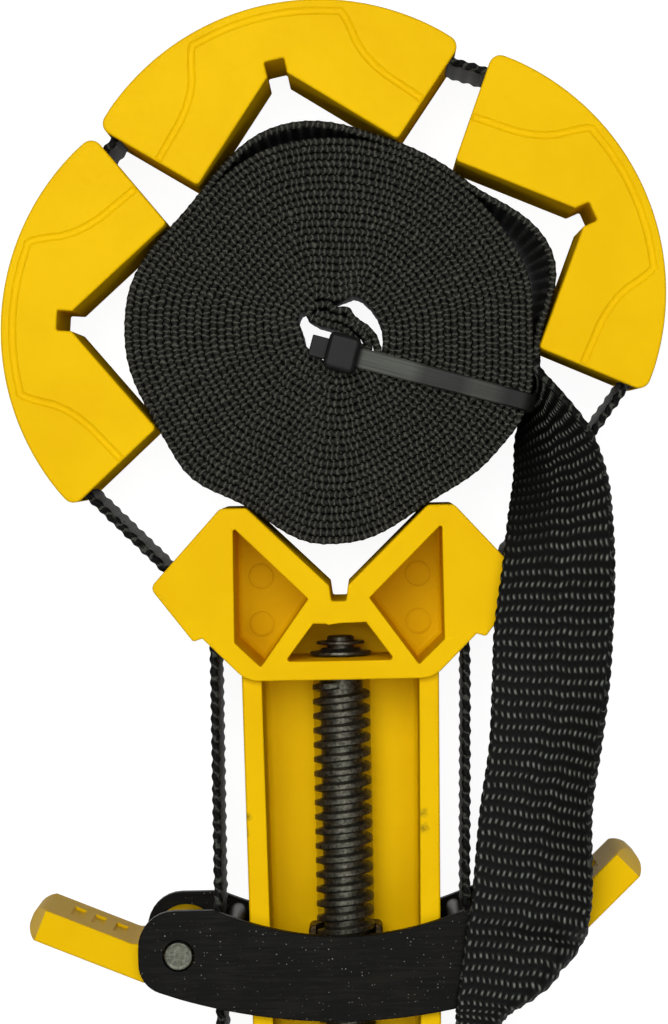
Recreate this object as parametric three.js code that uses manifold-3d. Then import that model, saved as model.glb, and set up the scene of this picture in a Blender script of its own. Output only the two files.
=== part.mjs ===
import * as THREE from 'three';
import { mergeVertices } from 'three/addons/utils/BufferGeometryUtils.js';
import Module from 'manifold-3d';

const wasm = await Module();
wasm.setup();

// Band clamp with a tension screw, lying on its back: X across, Y towards the top jaw, Z towards the viewer.
// Lengths are millimetres and angles are degrees. Y is counted from the lower edge of the head,
// and the whole clamp is then moved so that the origin lies on the head's back face.

// General fits and facets
const fit = 0.3;
const overrun = 2;
const filletSteps = 4;
const roundSteps = 32;

// Webbing
const bandWidth = 25;
const bandThickness = 1.6;
const bandPlay = 0.5;

// Head and jaws are moulded to one depth, and the band runs in the middle of it
const mouldDepth = 31;
const bandBase = (mouldDepth - bandWidth) / 2;
const screwHeight = mouldDepth / 2;

// Jaws
const jawRadius = 51.7;
const jawBackWall = 11.4;
const jawSkin = 2.6;
const jawHalfAngle = 47.3;
const jawSeatHalfAngle = 45.9;
const jawLegShare = 0.508;
const jawReliefWidth = 4.1;
const jawReliefDepth = 3.1;
const jawOuterFillet = 2.4;
const jawInnerFillet = 0.9;
const jawMouthFlare = 0.8;
const jawMouthFlareAngle = 7;
const jawBackSteps = 26;
const jawTunnelSteps = 18;
const contourWidth = 1.5;
const contourDepth = 0.35;
const contourInset = 2.4;
const contourInnerShares = [0.7, 0.345];
const contourOuterShares = [0.906, 0.31];
const contourEndShares = [0.497, 0.534];
const contourBlendAngle = 2;
const contourSteps = 10;
const jawPlaces = {
  left_jaw: { centreShares: [-0.312, 0.699], angle: 175.9 },
  top_jaw: { centreShares: [-0.053, 1], angle: 102 },
  right_jaw: { centreShares: [0.313, 0.839], angle: 23 },
};

// Head
const headHeight = 35.3;
const shoulderHalfWidth = 38.4;
const plateauShares = [0.482, 0.622];
const shoulderHeightShare = 0.55;
const shoulderFillet = 1.6;
const lipShares = [0.777, 0.235];
const lipStepShares = [0.728, 0.252];
const bottomShare = 0.495;
const bottomFillet = 6;
const seatBottomShares = [0.05, 0.545];
const seatReliefShares = [0.039, 0.455];
const pocketFloor = 6;
const pocketShares = [[0.555, 0.89], [0.163, 0.47], [0.42, 0.081], [0.557, 0.224]];
const windowSill = 3.9;
const windowTopShares = [0.146, 0.327];
const windowHalfShare = 0.27;
const windowFillet = 0.9;
const shoulderBend = 11;
const shoulderCornerShare = 0.38;
const shoulderSteps = 6;
const jawArcStep = 6;

// Channel below the head
const channelLength = 128;
const channelHalfWidth = 20.2;
const channelTaper = 1.7;
const channelWall = 4.1;
const channelFloor = 4.6;
const troughRadius = 9.9;
const endBlock = 13;
const endFillet = 3;
const slotHalfWidth = 4.1;
const slotTop = -6;

// Tension screw
const threadDiameter = 12;
const threadPitch = 3;
const stubDiameter = 5.6;
const grooveDiameter = 4.8;
const stubAboveSill = 4.3;
const grooveAboveSill = 2.4;
const clipThickness = 0.6;
const clipDiameter = 10;
const clipOpening = 3.4;
const washerDiameter = 12.7;
const washerThickness = 1.4;
const lowerJournalDiameter = 10;

// Crossbar
const plateThickness = 2.7;
const plateHalfLength = 42.2;
const plateTop = -46.4;
const plateBottom = -69.5;
const plateFlatShare = 0.63;
const plateTopSag = 5.8;
const plateBottomRise = 7.9;
const plateTopFillet = 5.2;
const plateBottomFillet = 6.2;
const plateShoulderFillet = 2.6;
const plateEdgeSteps = 12;
const nutWidth = 15.4;
const nutLength = 15;
const nutProud = 0.1;
const nutStep = 2.4;
const nutFillet = 1.2;
const legX = 25.8;
const leverX = 34;
const leverY = -55.5;
const rivetDiameter = 5.7;
const rivetProud = 0.5;
const anvilDiameter = 3.6;
const anvilY = -50.6;

// Cam levers, drawn with the arm along +X
const camLowRadius = 6.6;
const camHighRadius = 7.55;
const camStart = 30;
const camEnd = 270;
const camPower = 3;
const camSteps = 22;
const armLength = 31;
const armTop = -1.6;
const armBottom = -8.25;
const armRootShare = 0.16;
const armNeckFillet = 3;
const armTipFillet = 2.6;
const tipChamferLength = 5;
const tipChamferDepth = 3.2;
const leftArmAngle = 22.3;
const rightArmAngle = 43.8;

// Roll of spare webbing
const rollShare = 0.803;
const rollCentreShares = [-0.005, 0.67];
const rollCoreShare = 0.176;
const rollCoreShift = 2.2;
const rollCoreShiftAngle = 25;
const rollLoops = 23;
const rollStepsPerLoop = 24;
const rollStripShare = 0.55;
const rollWaves = [
  { lobes: 2, share: 0.006, phase: 0 },
  { lobes: 3, share: 0.012, phase: 51 },
  { lobes: 4, share: 0.011, phase: -18 },
];
const rollClearance = 0.45;
const rollDentHalf = 24;
const looseLapStart = 165;
const looseLapEnd = -7;
const looseLapBulges = [
  { angle: 101, share: 0.06, half: 30 },
  { angle: 21.5, share: 0.12, half: 27 },
];

// Free strap from the roll down over the crossbar, and its turn back to the right leg.
// Each section starts at the strap's left edge: run is its place from the roll to the crossbar, side is
// counted from the straight line between the roll's end and the leg, and lift from the back of the webbing.
// The section bends from the first tilt to the second between two shares of the width.
const strapSections = [
  { run: 0, side: -0.009, lift: 0, tilts: [90, 90], bend: [0, 1] },
  { run: 0.022, side: 0.06, lift: 0, tilts: [90, 88], bend: [0, 1] },
  { run: 0.07, side: 0.116, lift: 0.17, tilts: [84, 70], bend: [0, 1] },
  { run: 0.146, side: 0.023, lift: 0.373, tilts: [60, 48], bend: [0, 1] },
  { run: 0.221, side: -0.032, lift: 0.63, tilts: [46, 41], bend: [0, 1] },
  { run: 0.294, side: -0.063, lift: 0.87, tilts: [38, 34], bend: [0, 1] },
  { run: 0.366, side: -0.084, lift: 1, tilts: [31, 30], bend: [0, 1] },
  { run: 0.489, side: -0.095, lift: 1, tilts: [18, 21], bend: [0, 1] },
  { run: 0.586, side: -0.062, lift: 1, tilts: [8, 31], bend: [0, 1] },
  { run: 0.707, side: -0.022, lift: 1, tilts: [8, 44], bend: [0, 1] },
  { run: 0.828, side: -0.034, lift: 1, tilts: [6, 44], bend: [0, 1] },
  { run: 0.985, side: -0.013, lift: 1.01, tilts: [2, 24], bend: [0, 1] },
  { run: 1.04, side: -0.056, lift: 1.01, tilts: [0, 12], bend: [0, 1] },
  { run: 1.086, side: -0.084, lift: 1, tilts: [0, -50], bend: [0.72, 1] },
  { run: 1.12, side: -0.105, lift: 1, tilts: [0, -84], bend: [0.68, 1] },
  { run: 1.143, side: -0.12, lift: 1, tilts: [0, -90], bend: [0.63, 0.96] },
  { run: 1.17, side: -0.14, lift: 1, tilts: [0, -90], bend: [0.48, 0.81] },
  { run: 1.194, side: -0.15, lift: 1, tilts: [0, -90], bend: [0.28, 0.62] },
  { run: 1.216, side: -0.15, lift: 1, tilts: [0, -90], bend: [0.14, 0.5] },
  { run: 1.25, side: -0.13, lift: 1, tilts: [0, -90], bend: [0.06, 0.42] },
  { run: 1.285, side: -0.03, lift: 0.95, tilts: [-20, -90], bend: [0, 0.36] },
  { run: 1.32, side: 0.13, lift: 0.88, tilts: [-55, -90], bend: [0, 0.3] },
  { run: 1.345, side: 0.27, lift: 0.84, tilts: [-80, -90], bend: [0, 0.5] },
];
const strapTurnRadius = 4.2;
const strapTurnSteps = 8;
const strapFoot = 20;
const strapStations = 58;
const strapWidthSteps = 8;
const leftTailLength = 56;
const rightLegTail = 2;
const legSplit = 8;

// Cable tie, in its own plane: reach is counted from the middle of the roll's core
const tieWidth = 3.6;
const tieThickness = 1.1;
const tieAngle = -15.8;
const tieOffset = 4.2;
const tieInnerReach = 1.1;
const tieBackReachShare = 0.96;
const tieFrontReachShare = 0.985;
const tieFillet = 2;
const tieHeadLength = 8.8;
const tieHeadWidth = 7.2;
const tieHeadHeight = 4.8;
const tieHeadStart = -3.7;
const tieHeadFillet = 1;
const tieStubLength = 2.1;

// Handle
const gripLength = 112;
const gripCollarRadius = 11;
const gripNeckRadius = 9.2;
const gripRadius = 15.3;
const gripEndRadius = 12.6;
const gripFlutes = 8;
const gripFluteShare = 0.11;
const gripRings = 22;
const gripSteps = 48;
const gripCollarShares = [0.115, 0.15];
const gripEndShare = 0.965;
const gripDomeShare = 0.72;
const gripSwellPower = 0.8;
const gripFluteFade = 0.22;
const gripBoreDepth = 34;
const gripBorePlay = 1;
const gripPinDiameter = 4;
const gripPinDrop = 7;
const collarWasherDiameter = 18;
const collarWasherThickness = 1.5;

// Origin on the head's back face
const restPoint = 12;

// Materials
function finish(color, roughness, metalness) {
  return new THREE.MeshStandardMaterial({ color, roughness, metalness });
}
const yellowPlastic = finish(0xe9bf00, 0.5, 0);
const blackSteel = finish(0x1b1b1a, 0.45, 0.7);
const webbing = finish(0x161716, 0.9, 0);
const blackPlastic = finish(0x101112, 0.3, 0);
const bareSteel = finish(0x62645d, 0.35, 0.9);

// Small geometry helpers
const turn = THREE.MathUtils.degToRad;

function polar(centre, radius, degrees) {
  const angle = turn(degrees);
  return [centre[0] + radius * Math.cos(angle), centre[1] + radius * Math.sin(angle)];
}

function scaled(shares, width, height = width) {
  return [shares[0] * width, shares[1] * height];
}

function arc(centre, radius, from, to, steps) {
  return Array.from({ length: steps + 1 }, (_, i) => polar(centre, radius, from + ((to - from) * i) / steps));
}

function mirrored(points) {
  return points.map(([x, y, ...rest]) => [-x, y, ...rest]).reverse();
}

// An outline from corners [x, y, fillet radius]
function outline(corners) {
  const points = [];
  corners.forEach(([x, y, radius = 0], i) => {
    const here = new THREE.Vector2(x, y);
    if (!radius) {
      points.push(here);
      return;
    }
    const [beforeX, beforeY] = corners[(i + corners.length - 1) % corners.length];
    const [afterX, afterY] = corners[(i + 1) % corners.length];
    const before = new THREE.Vector2(beforeX, beforeY).sub(here).normalize();
    const after = new THREE.Vector2(afterX, afterY).sub(here).normalize();
    const half = Math.acos(THREE.MathUtils.clamp(before.dot(after), -1, 1)) / 2;
    const centre = here.clone().addScaledVector(before.clone().add(after).normalize(), radius / Math.sin(half));
    const start = here.clone().addScaledVector(before, radius / Math.tan(half)).sub(centre);
    const sweep = Math.PI - 2 * half;
    const side = Math.sign(after.cross(before));
    for (let k = 0; k <= filletSteps; k += 1) {
      const angle = (side * sweep * k) / filletSteps;
      points.push(start.clone().rotateAround(new THREE.Vector2(), angle).add(centre));
    }
  });
  return new THREE.Shape(points);
}

// A closed outline of even thickness along an open line
function ribbon(line, thickness) {
  const points = line.map(([x, y]) => new THREE.Vector2(x, y));
  const last = points.length - 1;
  const left = [];
  const right = [];
  points.forEach((here, i) => {
    const ahead = points[Math.min(i + 1, last)].clone().sub(points[Math.min(i, last - 1)]).normalize();
    const behind = points[Math.max(i, 1)].clone().sub(points[Math.max(i - 1, 0)]).normalize();
    const along = ahead.clone().add(behind).normalize();
    const reach = thickness / 2 / along.dot(ahead);
    const normal = new THREE.Vector2(-along.y, along.x);
    left.push(here.clone().addScaledVector(normal, reach));
    right.push(here.clone().addScaledVector(normal, -reach));
  });
  return new THREE.Shape([...right, ...left.reverse()]);
}

function solid(geometry) {
  geometry.deleteAttribute('normal');
  geometry.deleteAttribute('uv');
  const merged = mergeVertices(geometry);
  return new wasm.Manifold(new wasm.Mesh({
    numProp: 3,
    vertProperties: merged.attributes.position.array,
    triVerts: new Uint32Array(merged.index.array),
  }));
}

function geometryOf(manifold) {
  const mesh = manifold.getMesh();
  const geometry = new THREE.BufferGeometry();
  geometry.setAttribute('position', new THREE.BufferAttribute(mesh.vertProperties, mesh.numProp));
  geometry.setIndex(new THREE.BufferAttribute(mesh.triVerts, 1));
  return geometry;
}

function prism(shape, from, to) {
  const geometry = new THREE.ExtrudeGeometry(shape, { depth: to - from, bevelEnabled: false });
  return solid(geometry.translate(0, 0, from));
}

function block(x0, x1, y0, y1, z0, z1) {
  const geometry = new THREE.BoxGeometry(x1 - x0, y1 - y0, z1 - z0);
  return solid(geometry.translate((x0 + x1) / 2, (y0 + y1) / 2, (z0 + z1) / 2));
}

// Round bars along Z and along Y
function postZ(x, y, radius, from, to) {
  const geometry = new THREE.CylinderGeometry(radius, radius, to - from, roundSteps);
  return solid(geometry.rotateX(Math.PI / 2).translate(x, y, (from + to) / 2));
}

function barY(radius, from, to, height = screwHeight) {
  const geometry = new THREE.CylinderGeometry(radius, radius, to - from, roundSteps);
  return solid(geometry.translate(0, (from + to) / 2, height));
}

function turnedY(profile) {
  const points = profile.map(([radius, y]) => new THREE.Vector2(radius, y));
  return solid(new THREE.LatheGeometry(points, roundSteps).translate(0, 0, screwHeight));
}

function cosineBump(angle, centre, half) {
  const away = Math.abs(THREE.MathUtils.euclideanModulo(angle - centre + 180, 360) - 180);
  return away < half ? (1 + Math.cos((Math.PI * away) / half)) / 2 : 0;
}

const clamp = new THREE.Group();

function add(name, shape, material) {
  const geometry = shape.isBufferGeometry ? shape : geometryOf(shape);
  const mesh = new THREE.Mesh(geometry, material);
  mesh.name = name;
  clamp.add(mesh);
  return mesh;
}

// Jaws: a round back, a right-angled seat with a relief slot, and a tunnel for the band
const bandRadius = jawRadius - jawSkin - bandPlay - bandThickness / 2;
const jawFloor = jawRadius - jawBackWall;

function jawOutline() {
  const half = jawReliefWidth / 2;
  const seat = jawFloor - jawReliefDepth;
  const leg = jawLegShare * jawRadius;
  const lean = turn(jawSeatHalfAngle);
  const corner = [seat - leg * Math.cos(lean), half + leg * Math.sin(lean)];
  const outer = polar([0, 0], jawRadius, jawHalfAngle);
  const backHalf = jawHalfAngle - THREE.MathUtils.radToDeg((2 * jawOuterFillet) / jawRadius);
  const back = arc([0, 0], jawRadius, backHalf, -backHalf, jawBackSteps);
  return outline([
    [jawFloor, half],
    [seat, half],
    [...corner, jawInnerFillet],
    [...outer, jawOuterFillet],
    ...back,
    [outer[0], -outer[1], jawOuterFillet],
    [corner[0], -corner[1], jawInnerFillet],
    [seat, -half],
    [jawFloor, -half],
  ]);
}

function jawTunnel() {
  const inner = bandRadius - bandThickness / 2 - bandPlay;
  const outer = bandRadius + bandThickness / 2 + bandPlay;
  const end = jawHalfAngle + overrun;
  const mouth = jawHalfAngle - jawMouthFlareAngle;
  const flared = outer + jawMouthFlare;
  const points = [
    ...arc([0, 0], inner, -end, end, jawTunnelSteps),
    polar([0, 0], flared, end),
    ...arc([0, 0], outer, mouth, -mouth, jawTunnelSteps),
    polar([0, 0], flared, -end),
  ];
  const shape = new THREE.Shape(points.map(([x, y]) => new THREE.Vector2(x, y)));
  return prism(shape, bandBase - bandPlay, bandBase + bandWidth + bandPlay);
}

function jawContour() {
  const radius = jawRadius - contourInset;
  const outer = scaled(contourOuterShares, jawRadius);
  const inner = scaled(contourInnerShares, jawRadius);
  const end = scaled(contourEndShares, jawRadius);
  const meet = THREE.MathUtils.radToDeg(Math.atan2(outer[1], outer[0]));
  const line = [
    end,
    inner,
    outer,
    ...arc([0, 0], radius, meet - contourBlendAngle, contourBlendAngle - meet, contourSteps),
    [outer[0], -outer[1]],
    [inner[0], -inner[1]],
    [end[0], -end[1]],
  ];
  return prism(ribbon(line, contourWidth), mouldDepth - contourDepth, mouldDepth + overrun);
}

const jawBody = prism(jawOutline(), 0, mouldDepth).subtract(jawTunnel()).subtract(jawContour());

// Places above the head are shares of the jaws' radius, counted from the top of the head
function aboveHead(shares) {
  return [shares[0] * jawRadius, headHeight + shares[1] * jawRadius];
}

function jawCentre(name) {
  return aboveHead(jawPlaces[name].centreShares);
}

for (const name of Object.keys(jawPlaces)) {
  const mesh = add(name, jawBody, yellowPlastic);
  mesh.position.set(...jawCentre(name), 0);
  mesh.rotation.z = turn(jawPlaces[name].angle);
}

// Band route in plan: up the left leg, round the three jaws and down the right leg
function shoulderTurn(side) {
  const name = side < 0 ? 'left_jaw' : 'right_jaw';
  const touch = polar(jawCentre(name), bandRadius, jawPlaces[name].angle - side * jawHalfAngle);
  const cornerY = shoulderCornerShare * headHeight;
  const lean = Math.atan2(Math.abs(touch[0]) - legX, touch[1] - cornerY);
  const low = cornerY - shoulderBend * Math.tan(lean / 2);
  const centre = [legX + shoulderBend, low];
  const bend = arc(centre, shoulderBend, 180, 180 - THREE.MathUtils.radToDeg(lean), shoulderSteps);
  return { touch, bend: bend.map(([x, y]) => [side * x, y]) };
}

function jawArc(name, from, to) {
  return arc(jawCentre(name), bandRadius, from, to, Math.round(Math.abs(from - to) / jawArcStep));
}

function loopRoute() {
  const [left, top, right] = ['left_jaw', 'top_jaw', 'right_jaw'].map((name) => jawPlaces[name].angle);
  return [
    [-legX, legSplit + fit],
    ...shoulderTurn(-1).bend,
    ...jawArc('left_jaw', left + jawHalfAngle, left - jawHalfAngle),
    ...jawArc('top_jaw', top + jawHalfAngle, top - jawHalfAngle),
    ...jawArc('right_jaw', right + jawHalfAngle, right - jawHalfAngle),
    ...shoulderTurn(1).bend.reverse(),
    [legX, legSplit + fit],
  ].filter(([, y], i, all) => y > legSplit + 2 * fit || i === 0 || i === all.length - 1);
}

add('band_loop', prism(ribbon(loopRoute(), bandThickness), bandBase, bandBase + bandWidth), webbing);

// Head and channel in one moulding
function headOutline() {
  const [innerTop, outerTop] = plateauShares;
  const rightSide = [
    [...scaled(seatReliefShares, shoulderHalfWidth, headHeight)],
    [...scaled(seatBottomShares, shoulderHalfWidth, headHeight)],
    [innerTop * shoulderHalfWidth, headHeight, shoulderFillet],
    [outerTop * shoulderHalfWidth, headHeight, shoulderFillet],
    [shoulderHalfWidth, shoulderHeightShare * headHeight, shoulderFillet],
    [...scaled(lipShares, shoulderHalfWidth, headHeight)],
    [...scaled(lipStepShares, shoulderHalfWidth, headHeight)],
    [bottomShare * shoulderHalfWidth, 0, bottomFillet],
  ];
  return outline([...mirrored(rightSide), ...rightSide]);
}

function headPocket(side) {
  const corners = pocketShares.map(([x, y]) => [side * x * shoulderHalfWidth, y * headHeight]);
  return prism(outline(side < 0 ? corners : corners.reverse()), pocketFloor, mouldDepth + overrun);
}

function headWindow() {
  const top = windowTopShares[0] * shoulderHalfWidth;
  const height = windowTopShares[1] * headHeight;
  const bottom = windowHalfShare * shoulderHalfWidth;
  const corners = [
    [-bottom, windowSill, windowFillet],
    [bottom, windowSill, windowFillet],
    [top, height],
    [-top, height],
  ];
  return prism(outline(corners), pocketFloor, mouldDepth + overrun);
}

function shoulderTunnel(side) {
  const { touch, bend } = shoulderTurn(side);
  const route = [[side * legX, -overrun], ...bend, touch];
  const width = bandThickness + 2 * bandPlay;
  return prism(ribbon(route, width), bandBase - bandPlay, bandBase + bandWidth + bandPlay);
}

const channelBase = bandBase;
const channelTop = channelBase + bandWidth + bandPlay;
const blockFace = endBlock - channelLength;

function channel() {
  const low = channelHalfWidth - channelTaper;
  const outer = outline([
    [-low, -channelLength, endFillet],
    [low, -channelLength, endFillet],
    [channelHalfWidth, overrun],
    [-channelHalfWidth, overrun],
  ]);
  const inner = outline([
    [channelWall - low, blockFace],
    [low - channelWall, blockFace],
    [channelHalfWidth - channelWall, 0],
    [channelWall - channelHalfWidth, 0],
  ]);
  const trough = barY(troughRadius, blockFace, 0);
  const slot = block(-slotHalfWidth, slotHalfWidth, blockFace, slotTop, 0, screwHeight);
  return prism(outer, channelBase, channelTop)
    .subtract(prism(inner, channelBase + channelFloor, mouldDepth + overrun))
    .subtract(trough)
    .subtract(slot);
}

function frameBody() {
  const sillHole = barY(stubDiameter / 2 + fit, -overrun, windowSill + overrun);
  const blockHole = barY(lowerJournalDiameter / 2 + fit, -channelLength - overrun, blockFace + overrun);
  return prism(headOutline(), 0, mouldDepth)
    .subtract(headPocket(-1))
    .subtract(headPocket(1))
    .subtract(headWindow())
    .subtract(shoulderTunnel(-1))
    .subtract(shoulderTunnel(1))
    .add(channel())
    .subtract(sillHole)
    .subtract(blockHole);
}

add('frame_body', frameBody(), yellowPlastic);

// Tension screw, its washer and its clip
const grooveStart = windowSill + grooveAboveSill;
const gripTop = -channelLength - 2 * fit - collarWasherThickness;
const screwEnd = gripTop - gripBoreDepth + gripBorePlay;

function spindle() {
  const groove = clipThickness + fit;
  const profile = [
    [0, screwEnd],
    [lowerJournalDiameter / 2, screwEnd],
    [lowerJournalDiameter / 2, blockFace + fit],
    [threadDiameter / 2, blockFace + fit],
    [threadDiameter / 2, -fit],
    [stubDiameter / 2, -fit],
    [stubDiameter / 2, grooveStart],
    [grooveDiameter / 2, grooveStart],
    [grooveDiameter / 2, grooveStart + groove],
    [stubDiameter / 2, grooveStart + groove],
    [stubDiameter / 2, windowSill + stubAboveSill],
    [0, windowSill + stubAboveSill],
  ];
  const pinHole = gripPinDiameter / 2 + fit;
  return turnedY(profile).subtract(postZ(0, gripTop - gripPinDrop, pinHole, 0, mouldDepth));
}

function ringY(outer, inner, from, to) {
  return barY(outer, from, to).subtract(barY(inner, from - overrun, to + overrun));
}

function retainingClip() {
  const start = grooveStart + fit / 2;
  const half = clipOpening / 2;
  const mouth = block(-half, half, start - overrun, start + overrun, 0, screwHeight);
  return ringY(clipDiameter / 2, grooveDiameter / 2 + fit, start, start + clipThickness).subtract(mouth);
}

add('spindle', spindle(), blackSteel);
add('retaining_clip', retainingClip(), blackSteel);
add('thrust_washer', ringY(
  washerDiameter / 2,
  stubDiameter / 2 + fit,
  windowSill + fit,
  windowSill + fit + washerThickness,
), blackSteel);

// Crossbar: two plates, the nut between them, the levers' rivets and the anvil pins
const frontPlateBase = channelTop + fit;
const frontFace = frontPlateBase + plateThickness;

function plateOutline() {
  const flat = plateFlatShare * plateHalfLength;
  const shares = Array.from({ length: plateEdgeSteps - 1 }, (_, i) => (2 * (i + 1)) / plateEdgeSteps - 1);
  const topLine = shares.map((share) => [-share * flat, plateTop - plateTopSag * (1 - share * share)]);
  const bottomLine = shares.map((share) => {
    return [share * plateHalfLength, plateBottom + plateBottomRise * share * share];
  });
  return outline([
    [plateHalfLength, plateTop, plateTopFillet],
    [flat, plateTop, plateShoulderFillet],
    ...topLine,
    [-flat, plateTop, plateShoulderFillet],
    [-plateHalfLength, plateTop, plateTopFillet],
    [-plateHalfLength, plateBottom + plateBottomRise, plateBottomFillet],
    ...bottomLine,
    [plateHalfLength, plateBottom + plateBottomRise, plateBottomFillet],
  ]);
}

function plate(from) {
  const hole = rivetDiameter / 2 + fit;
  const end = from + plateThickness;
  return prism(plateOutline(), from, end)
    .subtract(postZ(-leverX, leverY, hole, from - overrun, end + overrun))
    .subtract(postZ(leverX, leverY, hole, from - overrun, end + overrun));
}

add('back_plate', plate(0), blackSteel);
add('front_plate', plate(frontPlateBase), blackSteel);

// The nut reaches the plates' top edge behind the screw, and is set back in front of it
function spindleNut() {
  const top = plateTop - plateTopSag + nutProud;
  const bottom = top - nutLength;
  const body = (end) => outline([
    [-nutWidth / 2, bottom, nutFillet],
    [nutWidth / 2, bottom, nutFillet],
    [nutWidth / 2, end, nutFillet],
    [-nutWidth / 2, end, nutFillet],
  ]);
  const bodyBase = channelBase + channelFloor + fit;
  const neck = slotHalfWidth - fit;
  return prism(body(top), bodyBase, screwHeight)
    .add(prism(body(top - nutStep), bodyBase, frontPlateBase - fit))
    .add(block(-neck, neck, bottom, top, plateThickness + fit, bodyBase + overrun))
    .subtract(barY(threadDiameter / 2 + fit, bottom - overrun, top + overrun));
}

add('spindle_nut', spindleNut(), blackSteel);

for (const [side, word] of [[-1, 'left'], [1, 'right']]) {
  const rivet = postZ(side * leverX, leverY, rivetDiameter / 2, 0, frontFace + rivetProud);
  add(`${word}_lever_rivet`, rivet, bareSteel);
  const anvilX = side * (legX - bandThickness / 2 - fit - anvilDiameter / 2);
  const from = plateThickness + fit / 2;
  const to = frontPlateBase - fit / 2;
  add(`${word}_anvil_pin`, postZ(anvilX, anvilY, anvilDiameter / 2, from, to), bareSteel);
}

// Cam levers: the cam grows towards the arm's lower side, so the arm locks when it is pushed down
function camRadius(degrees) {
  const share = (degrees - camStart) / (camEnd - camStart);
  return camLowRadius + (camHighRadius - camLowRadius) * share ** camPower;
}

function leverOutline() {
  const cam = Array.from({ length: camSteps + 1 }, (_, i) => {
    const angle = camStart + ((camEnd - camStart) * i) / camSteps;
    return polar([0, 0], camRadius(angle), angle);
  });
  const neck = (camLowRadius - armTop * Math.sin(turn(camStart))) / Math.cos(turn(camStart));
  return outline([
    ...cam,
    [armRootShare * armLength, armBottom, armNeckFillet],
    [armLength, armBottom, armTipFillet],
    [armLength, armTop, armTipFillet],
    [neck, armTop, armNeckFillet],
  ]);
}

function camLever() {
  const from = plateThickness + fit;
  const to = frontPlateBase - fit;
  const lean = Math.atan2(tipChamferDepth, tipChamferLength);
  const wedge = (z, side) => {
    const geometry = new THREE.BoxGeometry(armLength, armLength, tipChamferLength * 2);
    geometry.translate(armLength / 2, 0, side * tipChamferLength);
    geometry.rotateY(side * lean).translate(armLength - tipChamferLength, 0, z);
    return solid(geometry);
  };
  return prism(leverOutline(), from, to)
    .subtract(postZ(0, 0, rivetDiameter / 2 + fit, 0, mouldDepth))
    .subtract(wedge(to, 1))
    .subtract(wedge(from, -1));
}

const leverBody = camLever();
const rightLever = add('right_cam_lever', leverBody, yellowPlastic);
rightLever.position.set(leverX, leverY, 0);
rightLever.rotation.z = turn(rightArmAngle);
const leftLever = add('left_cam_lever', leverBody.mirror([1, 0, 0]), yellowPlastic);
leftLever.position.set(-leverX, leverY, 0);
leftLever.rotation.z = -turn(leftArmAngle);

// Roll of spare webbing: one spiral strip whose last lap stands loose over the top
const rollCentre = aboveHead(rollCentreShares);
const rollRadius = rollShare * jawRadius;
const rollCoreRadius = rollCoreShare * rollRadius;
const rollPitch = (rollRadius - rollCoreRadius) / rollLoops;
const rollStrip = rollStripShare * rollPitch;

function rollBase(angle) {
  const waves = rollWaves.map(({ lobes, share, phase }) => share * Math.cos(turn(lobes * angle - phase)));
  return rollRadius * waves.reduce((sum, share) => sum + share, 1);
}

function rollLift(angle) {
  const lifts = looseLapBulges.map(({ angle: at, share, half }) => share * cosineBump(angle, at, half));
  return rollRadius * lifts.reduce((sum, share) => sum + share, 0);
}

// Outermost lap over the regular outline, on the way round to the strip's end
function lapsOver(angle) {
  return (looseLapStart - looseLapEnd - THREE.MathUtils.euclideanModulo(angle - looseLapEnd, 360)) / 360;
}

// The jaws' and the head's corners press into the roll
function pressingCorners() {
  const leg = jawLegShare * jawRadius;
  const lean = turn(jawSeatHalfAngle);
  const inward = jawFloor - jawReliefDepth - leg * Math.cos(lean);
  const aside = jawReliefWidth / 2 + leg * Math.sin(lean);
  const corners = Object.keys(jawPlaces).flatMap((name) => [-1, 1].map((side) => {
    const corner = new THREE.Vector2(inward, side * aside);
    return corner.rotateAround(new THREE.Vector2(), turn(jawPlaces[name].angle)).add(
      new THREE.Vector2(...jawCentre(name)),
    );
  }));
  const plateau = plateauShares[0] * shoulderHalfWidth;
  corners.push(new THREE.Vector2(-plateau, headHeight), new THREE.Vector2(plateau, headHeight));
  return corners.map((corner) => {
    const away = corner.sub(new THREE.Vector2(...rollCentre));
    const angle = THREE.MathUtils.radToDeg(away.angle());
    const outermost = rollBase(angle) + rollPitch * lapsOver(angle) + rollLift(angle);
    const allowed = away.length() - rollStrip / 2 - rollClearance;
    return { angle, depth: Math.max(0, outermost - allowed) };
  });
}

const rollDents = pressingCorners();

function rollEdge(angle) {
  return rollDents.reduce(
    (radius, { angle: at, depth }) => radius - depth * cosineBump(angle, at, rollDentHalf),
    rollBase(angle),
  );
}

function rollCore(angle) {
  return rollCoreRadius + rollCoreShift * Math.cos(turn(angle - rollCoreShiftAngle));
}

function rollRoute() {
  const start = looseLapStart + 360 * rollLoops;
  const steps = Math.ceil(((start - looseLapEnd) * rollStepsPerLoop) / 360);
  return Array.from({ length: steps + 1 }, (_, i) => {
    const angle = Math.max(start - (360 * i) / rollStepsPerLoop, looseLapEnd);
    const core = rollCore(angle);
    const grown = (start - angle) / (360 * rollLoops);
    const lift = grown > 1 ? rollLift(angle) : 0;
    return polar(rollCentre, core + (rollEdge(angle) - core) * grown + lift, angle);
  });
}

const rollLine = rollRoute();
add('band_roll', prism(ribbon(rollLine, rollStrip), bandBase, bandBase + bandWidth), webbing);

function leastGap(line, thickness, skip) {
  let least = Infinity;
  line.forEach(([x, y], i) => {
    for (let k = i + skip; k < line.length - 1; k += 1) {
      const [ax, ay] = line[k];
      const [bx, by] = line[k + 1];
      const length = (bx - ax) ** 2 + (by - ay) ** 2;
      const along = THREE.MathUtils.clamp(((x - ax) * (bx - ax) + (y - ay) * (by - ay)) / length, 0, 1);
      least = Math.min(least, Math.hypot(x - ax - along * (bx - ax), y - ay - along * (by - ay)));
    }
  });
  return least - thickness;
}

const ownGap = leastGap(rollLine, rollStrip, rollStepsPerLoop / 2);
console.log(`least gap of the roll to itself: ${ownGap.toFixed(2)} mm`);

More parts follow.
